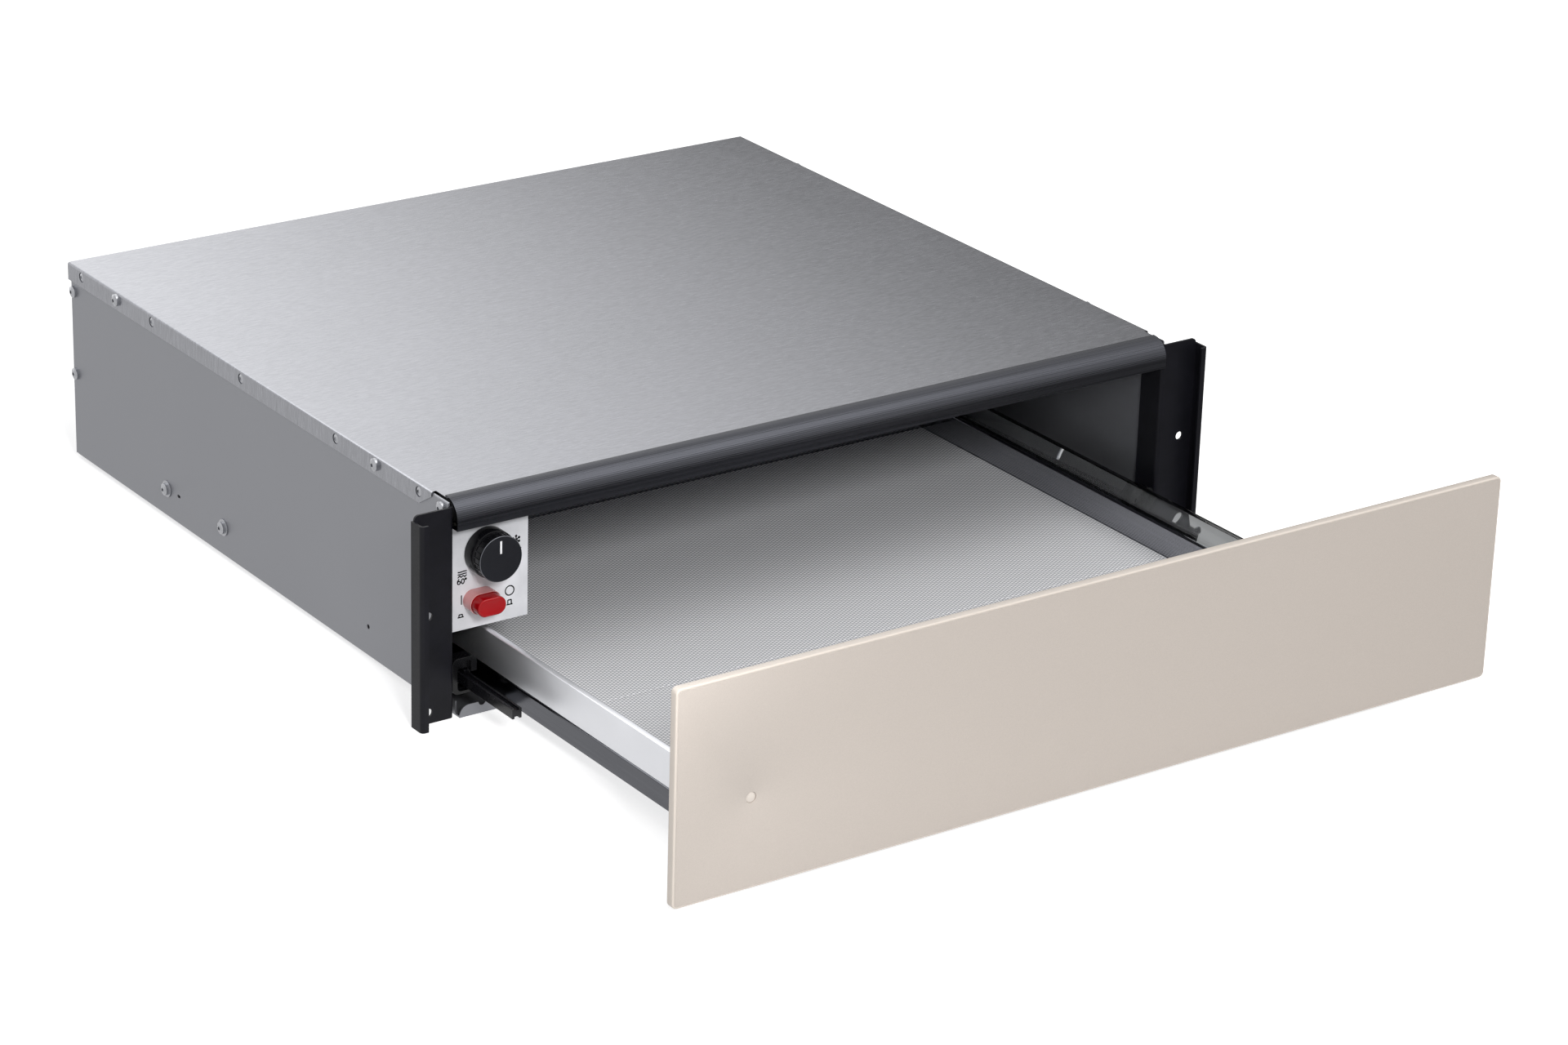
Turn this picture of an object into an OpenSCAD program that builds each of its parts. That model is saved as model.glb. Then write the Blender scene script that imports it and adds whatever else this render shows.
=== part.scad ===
// Built-in warming drawer, drawn pulled open as it is photographed.
// +X is to the user's right, +Y to the rear, +Z up.
// The origin lies on the underside of the base, midway between the sides, in the rear plane
// of the mounting flanges. Lengths are in millimetres.

/* [Cabinet] */
// Width over the two side panels
cab_w = 535; // [520:1:545]
// Depth from the flange plane to the rear edge of the side panels
cab_d = 481.5; // [470:0.5:500]
// Height of the top face of the cover above the underside
cab_h = 138; // [136:0.5:142]
// Thickness of the side, base and back sheets
sheet_t = 1; // [0.8:0.1:1.2]
// Height of the lower edge of the side panels above the underside
side_lift = 3.2; // [2.5:0.1:4]
// Width of the inward returns of the side panels
side_return = 11; // [9:0.5:12]
// Radius of the rounded lower rear corner of a side panel
side_corner_r = 5; // [3:0.5:8]

/* [Top cover] */
// Thickness of the cover sheet
cover_t = 0.8; // [0.6:0.1:1]
// Depth of the cover's folded edge
cover_drop = 12; // [11:0.5:13]
// Outer radius of the cover's fold
cover_bend_r = 1.6; // [1.2:0.1:2]
// Distance of the cover's rear edge behind the side panels
cover_rear = 3; // [3:0.1:4]
// Length of the folded edge that is cut off slantwise at the front
cover_slant = 14; // [10:1:18]
// Distance from the flange plane to the start of the folded edge, at the top
cover_fold_y = 19; // [14:1:24]
// Distance from the flange plane to the cover's own front edge
cover_front_y = 6; // [5.5:0.1:7]

/* [Front trim] */
// Radius of the rounded front of the trim
trim_r = 12.6; // [11:0.1:14]
// Height of the straight lower part of the trim
trim_drop = 5.8; // [5:0.1:7]
// Sheet thickness of the trim
trim_t = 1.2; // [1:0.1:1.4]
// Distance of the trim's foremost line in front of the flange plane
trim_out = 5; // [4:0.1:6]
// Gap between each end of the trim and the flange beside it
trim_gap = 0.3; // [0.2:0.1:2]

/* [Mounting flanges] */
// Sheet thickness of the flanges
flange_t = 1.5; // [1.2:0.1:1.8]
// Width over the two flanges
flange_span = 586.6; // [582:0.2:590]
// Height of the flanges
flange_h = 134.8; // [132:0.2:135.5]
// Length of the flange leg that reaches back along the side panel
flange_leg = 19.3; // [17:0.1:22]
// Distance that the outer fold stands in front of the flange plane
hook_out = 12; // [10:0.5:12.5]
// Width of the fold's inward lip
hook_lip = 5; // [4:0.5:6]
// Distance from the top of the flange to the top of the fold
hook_step = 3.3; // [2:0.1:5]
// Diameter of the mounting holes
mount_hole_d = 5.5; // [4.5:0.1:6]
// Distance between the two mounting holes of a flange
mount_pitch = 62; // [58:1:64]
// Height of the lower mounting hole
mount_low_z = 7; // [6:0.5:9]
// Distance from the centre plane to the mounting holes
mount_x = 282.5; // [281:0.1:283.5]

/* [Drawer] */
// Width of the front panel
panel_w = 594; // [590:1:597]
// Height of the front panel
panel_h = 132; // [128:1:134]
// Thickness of the front panel
panel_t = 5.5; // [4:0.5:6]
// Radius of the front panel's corners
panel_corner_r = 3.5; // [2:0.5:6]
// Height of the lower edge of the front panel above the underside
panel_lift = 4; // [3:0.5:6]
// Distance that the drawer is pulled out at rest
pulled_out = 264.5; // [240:0.5:270]
// Further distance that the drawer can be pulled out
more_travel = 130; // [100:1:132]
// Width over the drawer's side rails
drawer_w = 480; // [472:1:482]
// Depth of the drawer pan from its front wall to its rear wall
pan_d = 481; // [470:1:482]
// Height of the drawer's underside above the underside of the cabinet
pan_lift = 12; // [12:0.1:13]
// Sheet thickness of the drawer pan and rails
pan_t = 1; // [0.8:0.1:1.2]
// Height of the pan's side walls above its underside
wall_h = 21.5; // [19:0.5:23]
// Height of the pan's front and rear walls above its underside
end_wall_h = 34; // [30:1:36]
// Radius of the rolled edge on the pan's walls
hem_r = 1.5; // [1.3:0.1:1.6]
// Height of the drawer's side rails
rail_h = 14; // [13:0.5:15]
// Thickness of the side panes
pane_t = 4; // [3:0.5:4]
// Height of the side panes
pane_h = 23; // [20:0.5:24]
// Thickness of the anti-slip mat
mat_t = 1.2; // [0.8:0.1:2]

/* [Slides] */
// Height of the slides' screws
slide_z = 23; // [22:0.5:24]
// How far the middle of the bar lies below the screws
bar_drop = 1.3; // [1:0.1:1.5]
// How far the spacers hold the fixed channel off the flange's leg
slide_stand = 5.6; // [5:0.1:6]
// Height of the middle member's bar
bar_h = 6.4; // [6:0.1:7]
// Width of one half of the bar, which one channel holds
bar_head = 1.6; // [1.4:0.1:1.8]
// Width of the groove between the two halves
bar_neck = 3.2; // [3:0.1:3.4]
// Depth of the grooves in the bar
bar_groove = 1.4; // [1.2:0.1:1.6]
// Sheet thickness of the channels
channel_t = 0.9; // [0.8:0.1:1]
// Running gap between the bar and its channels
slide_gap = 0.4; // [0.3:0.05:0.45]
// Length of the fixed channel
outer_len = 400; // [390:1:430]
// Length of the middle member
bar_len = 306; // [300:1:320]
// Length of the channel on the drawer
inner_len = 200; // [190:1:205]

/* [Controls] */
// Width of the control plate that shows beside the left flange
plate_w = 55.7; // [54:0.1:58]
// Height of the control plate's lower edge
plate_z = 51.2; // [50.6:0.1:53]
// Distance of the control plate's face behind the flange plane
plate_y = 6.5; // [6:0.5:8]
// Diameter of the knob
knob_d = 30; // [28:0.5:31]
// Length of the knob
knob_l = 16.9; // [15:0.1:17]
// Height of the knob's axis
knob_z = 99.5; // [98:0.5:100]
// Turn of the knob from off to warmest, in degrees
knob_turn = 240; // [180:5:270]
// Width of the push button
button_w = 19.5; // [18:0.5:20]
// Height of the push button
button_h = 11.5; // [10:0.5:12]
// Height of the push button's axis
button_z = 69.5; // [69:0.5:70.5]
// Distance that the push button stands in front of the plate
button_out = 16.3; // [15:0.1:16.5]
// Travel of the push button
button_travel = 3; // [2:0.5:3.5]

/* [Heater and fan] */
// Height of the underside of the inner ceiling
ceiling_z = 114; // [113.8:0.1:115]
// Width and depth of the hot-air duct above the ceiling
duct_w = 224; // [210:2:240]
// Height of the hot-air duct
duct_h = 14.2; // [13.6:0.1:14.4]
// Distance of the fan's axis behind the flange plane
fan_y = 300; // [290:1:310]
// Diameter of the fan wheel
fan_d = 116; // [100:2:124]
// Number of blades on the fan wheel
blades = 24; // [12:2:30]
// Diameter of the ring that the heating element makes
element_ring_d = 176; // [160:2:184]
// Diameter of the heating element's tube
element_d = 6.4; // [5:0.2:7]

/* [Latch] */
// Width of the push latch's body
latch_w = 24; // [20:1:30]
// Length of the push latch's body
latch_l = 50; // [44:1:54]
// Height of the push latch's body
latch_h = 9; // [8.5:0.1:10]
// Length of plunger that stands out of the latch
plunger_out = 15; // [12:1:16]
// Travel of the plunger
plunger_travel = 4; // [3:0.5:5]

/* [Hidden] */

$fn = 48;

// One overrun serves every cut, and the laps of pieces that are one solid
over = 1;
// Gap between pieces that touch without pressing
seat_gap = 0.1;
// Gap round a shaft that turns
run_gap = 0.05;
// Gap round a piece that slides in a moulded hole
free_gap = 0.3;

// Heights and faces of the cabinet
side_out = cab_w / 2;
side_in = side_out - sheet_t;
side_top = cab_h - cover_t;
side_bend_r = 1.6;
flange_bend_r = sheet_t + flange_t + seat_gap;
side_front = flange_bend_r - flange_t + seat_gap;
rear_in = cab_d + cover_rear - cover_t;
back_y = rear_in - sheet_t;

// Base
base_lip = 4.5;
base_ear_h = 7.5;
base_ear_w = 49.5;
base_ear_r = 6.5;
base_lip_out = 4;
base_inset = 4;
base_edge = side_in - base_inset;
base_upstand = 9;
lip_notch_r = 2.5;
lip_notch_in = 15.5;

// Back panel
back_fold = 12.7;
vent_count = 12;
vent_w = 3;
vent_h = 16;
vent_pitch = 11;
vent_x = 40;
vent_z = 115;

// Screws, and where they stand
head_d = 8;
head_h = 2.8;
shank_d = 3.5;
shank_len = 6;
hex_d = 2.6;
hex_sink = 1.2;
screw_fit = 0.15;
small_head_d = 5.6;
small_head_h = 1.1;
cover_hole_d = 6.6;
cover_mid_y = 249.4;
cover_screw_span = 166;
side_screw_mid = 118;
side_screw_end = 215.8;
side_screw_steps = [-side_screw_end, -side_screw_mid, 0, side_screw_mid, side_screw_end];
cover_row_drop = 5;
cover_row_z = cab_h - cover_row_drop;
back_screw_in = 3.8;
back_screw_y = cab_d - back_screw_in;
screw_reach = slide_stand + channel_t + over;
carrier_head_d = 7;
carrier_head_h = 2;
carrier_shank_len = 5;
back_screw_zs = [61.6, 119.3];
flange_screw_y = 8.2;
flange_screw_z = 131.6;
slide_screw_in = 47.6;
slide_screw_pitch = 75.8;
slide_screw_rear = outer_len - slide_screw_in;
slide_screw_ys = [slide_screw_rear - slide_screw_pitch, slide_screw_rear];
washer_d = 11;
washer_t = 0.9;
pin_hole_y = 94.6;
pin_hole_d = 3;
side_slot_y = 336.7;
side_slot_w = 4;
side_slot_h = 2;

// Flanges
leg_in = side_in - flange_t;
flange_out = flange_span / 2;
flange_corner_r = 3;

// Trim
trim_end = leg_in - trim_gap;
trim_foot = 6;
trim_back = 1.4;
trim_top = cab_h + cover_t;
trim_axis_y = trim_r - trim_out;
trim_axis_z = trim_top - trim_r;

// Inner ceiling
ceiling_t = 0.8;
ceiling_top = ceiling_z + ceiling_t;
ceiling_front_in = 1.7;
ceiling_front = flange_leg + ceiling_front_in;
ceiling_rear_gap = 2;
ceiling_rear = back_y - back_fold - ceiling_rear_gap;
ceiling_fold_gap = 0.7;
ceiling_fold_top = side_top - sheet_t - ceiling_fold_gap;
ceiling_front_gap = 3.2;
ceiling_front_top = side_top - ceiling_front_gap;
inlet_hole_d = 6;
inlet_rings = 3;
inlet_step = 13;
outlet_w = 4;
outlet_l = 22;
outlet_count = 5;
outlet_pitch = 30;
outlet_in = 10;
outlet_off = duct_w / 2 - outlet_in;
loom_hole_d = 12;

// Duct, fan and heater
duct_top = ceiling_top + duct_h;
duct_t = 0.8;
shaft_r = 2.5;
shaft_hole_r = 5;
wheel_plate_t = 1;
wheel_gap = 1;
wheel_plate_z = duct_top - duct_t - wheel_gap - wheel_plate_t;
wheel_lift = 2.7;
wheel_low = ceiling_top + wheel_lift;
blade_t = 1;
blade_in = 34;
wheel_hub_r = 8;
wheel_hub_drop = 1.2;
motor_r = 30;
motor_gap = 0.4;
motor_top = side_top - motor_gap;
motor_foot_r = 3;
motor_foot_ring = 36;
motor_foot_h = 3;
shaft_cap = 1.5;
shaft_top = motor_top - shaft_cap;
shaft_end_gap = 0.5;
element_lift = 6.8;
element_z = ceiling_top + element_lift;
element_open = 30;
element_pin_turns = [4, 356 - element_open];
element_pin_r = 2;
element_pin_rise = 5;
element_pin_top = duct_top + element_pin_rise;
pin_hole_gap = 0.6;
pin_hole_r = element_pin_r + pin_hole_gap;
clip_w = 8;
clip_l = 10;
clip_gap = 0.2;
clip_angles = [50, 130, 215, 325];
bulb_d = 6;
bulb_l = 56;
bulb_off = 72;
bulb_z = ceiling_top + free_gap + bulb_d / 2;
elbow_share = 1.15;
elbow_lap_share = 0.3;
tube_r = 0.8;
tube_drop = 1;
tube_z = bulb_z - tube_drop;
tube_side = 4.6;
tube_x = 130;
tube_hole_gap = 0.4;
limit_d = 16;
limit_h = 5;
limit_x = 70;
limit_off = 70;

// Controls
plate_t = 1;
plate_left = leg_in - seat_gap;
plate_right = plate_left - plate_w;
plate_rise = 4;
plate_top = ceiling_z + plate_rise;
plate_leg = 11;
knob_in = 26.4;
knob_x = plate_left - knob_in;
button_in = 21.4;
button_x = plate_left - button_in;
knob_clear = 0.4;
knob_front = plate_y - knob_clear - knob_l;
knob_collar_l = 9;
knob_waist = 0.5;
grips = 24;
grip_w = 2.9;
grip_l = 5.6;
grip_sink = 0.5;
grip_in = 1.2;
knob_shaft_r = 3;
knob_shaft_clear = 1;
knob_face_t = 3;
pointer_w = 1.3;
pointer_l = 8;
pointer_in = 3.4;
pointer_t = 0.5;
shaft_in_body = 14;
body_gap = 0.4;
thermostat_w = 28;
thermostat_l = 26;
button_gap = 0.3;
collar_t = 0.6;
collar_l = 8.6;
button_front = plate_y - button_out;
button_back = 9;
stem_w = 8;
stem_l = 14;
switch_w = 22;
switch_h = 14;
switch_clear = 1;
switch_y = button_back + button_travel + switch_clear;
switch_l = 30;
switch_ear_t = 1;
box_t = 1.2;
box_l = 82;
box_left_in = 1.4;
box_left = plate_left - box_left_in;
box_right_in = 1.2;
box_right = plate_right + box_right_in;

// Terminals, gland and wiring
inlet_x = 170;
inlet_z = 115.5;
block_w = 44;
block_d = 22;
block_h = 11;
block_y = 440;
block_hole_d = 4;
block_hole_sink = 4;
block_pitch = 13;
gland_bore_r = 4;
gland_r = 7;
gland_flange_r = 9.5;
gland_flange_t = 2.3;
gland_in = 8;
gland_nut = 1.5;
loom_r = 3;
loom_x = 150;
loom_z = tube_z + tube_r + free_gap + loom_r * elbow_share;
loom_turn_y = 60;
loom_drop = 10;
branch_r = 2;
branch_z = duct_top + branch_r + free_gap;

// Latch
latch_gap = 0.4;
plunger_r = 1.8;
plunger_drop = 1.9;
plunger_z = sheet_t + latch_h - plunger_drop;
plunger_in = 24;
latch_y = 415;
striker_w = 20;
striker_t = 1.2;
striker_foot = 14;
striker_drop = 0.2;
striker_low = plunger_z - plunger_r - striker_drop;
striker_gap = 0.5;
plunger_tip = latch_y - plunger_out;
striker_y = plunger_tip - striker_gap - pulled_out;

// Drawer
bumper_r = 2.2;
bumper_t = 1.5;
bumper_zs = [30, 110];
bumper_in = 6.2;
bumper_x = panel_w / 2 - bumper_in;
closed_gap = 0.5;
panel_back = -hook_out - bumper_t - closed_gap - pulled_out;
panel_front = panel_back - panel_t;
carrier_d = 7;
carrier_t = 1;
pan_front = panel_back + carrier_d;
pan_rear = pan_front + pan_d;
rail_out = drawer_w / 2;
rail_in = rail_out - pan_t;
hem_gap = 0.1;
pane_inset = 0.4;
pane_out = rail_out - pane_inset;
pane_in = pane_out - pane_t;
wall_in = pane_in - hem_gap - 2 * hem_r;
wall_out = wall_in + pan_t;
ledge_top = pan_lift + rail_h;
pane_gap = 0.5;
mat_gap = 0.4;
rail_bend_r = 1.4;
carrier_wing = 4;
carrier_low_x = rail_out + carrier_wing;
carrier_low_h = end_wall_h;
carrier_high_x = 190;
carrier_high_h = 100;
lens_in = 50.6;
lens_x = panel_w / 2 - lens_in;
lens_z = 59.6;
lens_r = 3.2;
lens_gap = 0.1;
lens_back = 3;
lens_flange = 1.2;
lens_flange_t = 1;
carrier_screw_xs = [-200, -70, 70, 200];
carrier_screw_rise = 20;
carrier_screw_z = pan_lift + carrier_screw_rise;

// Slides
channel_back = leg_in - slide_stand;
bar_z = slide_z - bar_drop;
bar_out = channel_back - channel_t - slide_gap;
bar_w = 2 * bar_head + bar_neck;
bar_in = bar_out - bar_w;
bar_closed_y = 76.25;
bar_tip = bar_closed_y - pulled_out / 2;
channel_h = bar_h + 2 * slide_gap + 2 * channel_t;
channel_w = 2 * channel_t + 2 * slide_gap + bar_head;
lip_reach = channel_t + bar_groove;
inner_closed_y = 268.5;
inner_start = inner_closed_y - pulled_out;
inner_web = bar_in - slide_gap - channel_t;
boss_ins = [26, 166];
boss_r = 2.6;
boss_drop = 1.7;
guide_l = 9;
guide_h = 23.2;
guide_r = 4;
guide_w = 16.7;
guide_rise = 1.8;
guide_side = 3.5;
guide_wall = 2;
guide_pocket = 3;
guide_pocket_w = 9.3;
guide_pocket_r = 2.5;
guide_mid = leg_in - guide_side - guide_pocket_w / 2;
guide_step = 0.6;
guide_open_h = 12.3;
guide_open_drop = 0.85;
guide_open_r = 1.4;

// Moves a child to the left side of the cabinet
module left() {
    mirror([1, 0, 0]) children();
}

// Extrudes an outline of X and Z from one Y to another
module along_y(y0, y1) {
    translate([0, y1, 0]) rotate([90, 0, 0]) linear_extrude(y1 - y0) children();
}

// Extrudes an outline of Y and Z from one X to another
module along_x(x0, x1) {
    translate([x0, 0, 0]) rotate([90, 0, 90]) linear_extrude(x1 - x0) children();
}

// Extrudes an outline of X and Y from one Z to another
module along_z(z0, z1) {
    translate([0, 0, z0]) linear_extrude(z1 - z0) children();
}

// A box between two corners
module span(low, high) {
    translate(low) cube(high - low);
}

// A cylinder along Y
module rod_y(x, z, r, y0, y1) {
    translate([x, y0, z]) rotate([-90, 0, 0]) cylinder(r = r, h = y1 - y0);
}

// A cylinder along X
module rod_x(y, z, r, x0, x1) {
    translate([x0, y, z]) rotate([0, 90, 0]) cylinder(r = r, h = x1 - x0);
}

// A cylinder from one point to another
module rod(from, to, r) {
    way = to - from;
    translate(from) rotate([0, acos(way[2] / norm(way)), atan2(way[1], way[0])])
        cylinder(r = r, h = norm(way));
}

// Rods from point to point that lap at each bend, inside a ball
module run(points, r) {
    last = len(points) - 1;
    for (i = [1 : last]) {
        way = points[i] - points[i - 1];
        lap = way / norm(way) * r * elbow_lap_share;
        rod(points[i - 1] - (i > 1 ? lap : 0 * lap), points[i] + (i < last ? lap : 0 * lap), r);
    }
    for (i = [1 : last - 1]) translate(points[i]) sphere(r = r * elbow_share);
}

// A rectangle with round corners, centred
module round_rect(w, h, r) {
    square([w - 2 * r, h], center = true);
    square([w, h - 2 * r], center = true);
    for (x = [-1, 1], y = [-1, 1]) translate([x * (w / 2 - r), y * (h / 2 - r)]) circle(r);
}

// A flat oval that is longer along its first axis
module oval(w, h) {
    square([w - h, h], center = true);
    for (x = [-1, 1]) translate([x * (w - h) / 2, 0]) circle(h / 2);
}

// A folded sheet: one leg along +X, one along +Y, outer corner at the origin
module fold(a, b, t, r) {
    translate([r, 0]) square([a - r, t]);
    translate([0, r]) square([t, b - r]);
    intersection() {
        translate([r, r]) difference() {
            circle(r);
            circle(r - t);
        }
        square([r, r]);
    }
}

// A pan-head screw along +Z, with the head's seat at zero
module screw(d, h, len) {
    difference() {
        intersection() {
            cylinder(d = d, h = h);
            translate([0, 0, h - d]) sphere(r = d, $fn = 64);
        }
        translate([0, 0, h - hex_sink]) cylinder(d = hex_d, h = hex_sink + over, $fn = 6);
    }
    translate([0, 0, -len]) cylinder(d = shank_d, h = len + over / 2);
}

// A screw whose head seats on a face that looks to +X
module screw_x(x, y, z, d, h, len) {
    translate([x, y, z]) rotate([0, 90, 0]) screw(d, h, len);
}

// The hole for a screw's shank along X
module screw_hole(y, z) {
    rod_x(y, z, shank_d / 2 + screw_fit, leg_in - screw_reach, side_out + over + cover_t);
}

// Outline of the front lip in X and Z: low, with a taller ear at each end
module base_lip_outline() {
    translate([-base_edge + over, 0]) square([2 * (base_edge - over), base_lip]);
    for (s = [0, 1]) mirror([s, 0]) difference() {
        union() {
            translate([base_edge - base_ear_w, 0]) square([base_ear_w - base_ear_r, base_ear_h]);
            translate([base_edge - base_ear_r, 0]) square([base_ear_r, base_ear_h - base_ear_r]);
            intersection() {
                translate([base_edge - base_ear_r, base_ear_h - base_ear_r]) circle(base_ear_r);
                translate([base_edge - base_ear_r, 0]) square([base_ear_r, base_ear_h]);
            }
        }
        translate([base_edge - lip_notch_in, base_ear_h]) circle(lip_notch_r);
    }
}

module base_pan() {
    color([0.62, 0.63, 0.65]) union() {
        span([-base_edge, -base_lip_out, 0], [base_edge, back_y, sheet_t]);
        span([-base_edge, back_y - sheet_t, 0], [base_edge, back_y, base_upstand]);
        for (s = [0, 1]) mirror([s, 0, 0])
            span([base_edge - sheet_t, side_front, 0], [base_edge, back_y, base_upstand]);
        along_y(-base_lip_out, sheet_t - base_lip_out) base_lip_outline();
    }
}

// Outline of a side panel in X and Z: a web with a return at its top and its bottom
module side_outline() {
    tall = side_top - side_lift;
    translate([side_out, side_top]) rotate([0, 0, 180])
        fold(side_return, tall - side_bend_r, sheet_t, side_bend_r);
    translate([side_out, side_lift]) mirror([1, 0])
        fold(side_out - base_edge, side_bend_r + over, sheet_t, side_bend_r);
}

module side_panel() {
    difference() {
        along_y(side_front, cab_d) side_outline();
        along_x(base_edge - over, side_out + over)
            translate([cab_d - side_corner_r, side_lift]) difference() {
                translate([0, -over]) square([side_corner_r + over, side_corner_r + over]);
                translate([0, side_corner_r]) circle(side_corner_r);
            }
        for (dy = [-cover_screw_span, cover_screw_span]) screw_hole(cover_mid_y + dy, cover_row_z);
        for (dy = side_screw_steps) screw_hole(cover_mid_y + dy, cover_row_z);
        for (z = back_screw_zs) screw_hole(back_screw_y, z);
        screw_hole(flange_screw_y, flange_screw_z);
        for (y = slide_screw_ys) screw_hole(y, slide_z);
        rod_x(pin_hole_y, slide_z, pin_hole_d / 2, side_in - over, side_out + over);
        along_x(side_in - over, side_out + over)
            translate([side_slot_y, slide_z]) oval(side_slot_w, side_slot_h);
        span([side_out - side_return - over, -over, side_top - sheet_t - over],
            [side_in, ceiling_front, side_top + over]);
        span([base_edge - over, -over, side_lift - over],
            [side_in, flange_leg + seat_gap, side_lift + sheet_t + over]);
        span([side_out - side_return - over, back_y - back_fold - seat_gap,
            side_top - sheet_t - over], [side_in, cab_d + over, side_top + over]);
    }
}

module right_side_panel() {
    color([0.56, 0.57, 0.59]) side_panel();
}

module left_side_panel() {
    color([0.56, 0.57, 0.59]) left() side_panel();
}

module back_panel() {
    color([0.56, 0.57, 0.59])
    difference() {
        union() {
            span([-side_in, back_y, side_lift], [side_in, rear_in, side_top - sheet_t]);
            for (s = [0, 1]) mirror([s, 0, 0])
                span([side_in - sheet_t, back_y - back_fold, side_lift + sheet_t + side_corner_r],
                    [side_in, rear_in, side_top - 2 * sheet_t]);
        }
        for (s = [0, 1]) mirror([s, 0, 0]) for (z = back_screw_zs) screw_hole(back_screw_y, z);
        rod_y(-inlet_x, inlet_z, gland_r + seat_gap, back_y - over, rear_in + over);
        along_y(back_y - over, rear_in + over) for (i = [0 : vent_count - 1])
            translate([vent_x + i * vent_pitch, vent_z]) rotate([0, 0, 90]) oval(vent_h, vent_w);
    }
}

// Outline of the cover in X and Z: a flat top with both edges folded down
module cover_outline() {
    half = side_out + cover_t;
    for (s = [0, 1]) mirror([s, 0]) translate([half, cab_h]) rotate([0, 0, 180])
        fold(half + over, cover_drop, cover_t, cover_bend_r);
}

module top_cover() {
    half = side_out + cover_t;
    color([0.75, 0.76, 0.78])
    difference() {
        union() {
            along_y(cover_fold_y, cab_d + cover_rear) cover_outline();
            span([-leg_in, cover_front_y, side_top], [leg_in, cover_fold_y + over, cab_h]);
            span([-half + cover_bend_r, cab_d + cover_rear - cover_t, cab_h - cover_drop],
                [half - cover_bend_r, cab_d + cover_rear, cab_h - cover_t / 2]);
        }
        for (s = [0, 1]) mirror([s, 0, 0]) {
            along_x(side_out - over / 2, half + over) polygon([
                [cover_fold_y, cab_h - 2 * cover_bend_r],
                [cover_fold_y + cover_slant, cab_h - cover_drop],
                [cover_fold_y + cover_slant, cab_h - cover_drop - over],
                [cover_fold_y - over, cab_h - cover_drop - over],
                [cover_fold_y - over, cab_h - 2 * cover_bend_r]]);
            for (dy = side_screw_steps)
                rod_x(cover_mid_y + dy, cover_row_z, cover_hole_d / 2, side_out - over / 2, half + over);
            for (dy = [-cover_screw_span, cover_screw_span]) screw_hole(cover_mid_y + dy, cover_row_z);
        }
    }
}

// Outline of the trim in Y and Z
module trim_outline() {
    translate([trim_axis_y, trim_axis_z]) intersection() {
        difference() {
            circle(trim_r, $fn = 96);
            circle(trim_r - trim_t, $fn = 96);
        }
        translate([-trim_r, 0]) square([trim_r, trim_r]);
    }
    translate([trim_axis_y, trim_top - cover_t]) square([trim_back, cover_t]);
    translate([-trim_out, trim_axis_z - trim_drop]) square([trim_t, trim_drop]);
    translate([-trim_out, trim_axis_z - trim_drop]) square([trim_foot, trim_t]);
}

module front_trim() {
    color([0.24, 0.24, 0.26])
    difference() {
        along_x(-trim_end, trim_end) trim_outline();
        span([-trim_end - over, cover_front_y - seat_gap, side_top - seat_gap],
            [trim_end + over, trim_axis_y + over, cab_h]);
    }
}

// Outline of a mounting flange in X and Y: leg, face, forward fold and lip
module flange_outline() {
    translate([leg_in, -flange_t]) fold(flange_out - leg_in - flange_t, flange_leg + flange_t,
        flange_t, flange_bend_r);
}

module hook_outline() {
    translate([flange_out, -hook_out]) mirror([1, 0])
        fold(hook_lip, hook_out - flange_t + 2 * seat_gap, flange_t, flange_bend_r);
    translate([flange_out - 2 * flange_t, -flange_t]) square([2 * flange_t, flange_t]);
}

module flange() {
    difference() {
        union() {
            along_z(0, flange_h) flange_outline();
            along_z(0, flange_h - hook_step) hook_outline();
        }
        for (k = [0, 1])
            rod_y(mount_x, mount_low_z + k * mount_pitch, mount_hole_d / 2, -flange_t - over, over);
        screw_hole(flange_screw_y, flange_screw_z);
        along_y(-hook_out - over, over) translate([flange_out - flange_t - flange_corner_r,
            flange_h - flange_corner_r]) difference() {
            square([flange_corner_r + flange_t + over, flange_corner_r + over]);
            circle(flange_corner_r);
            translate([-over, -over]) square([flange_corner_r + over, over]);
        }
    }
}

module right_flange() {
    color([0.10, 0.10, 0.12]) flange();
}

module left_flange() {
    color([0.10, 0.10, 0.12]) left() flange();
}

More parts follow.
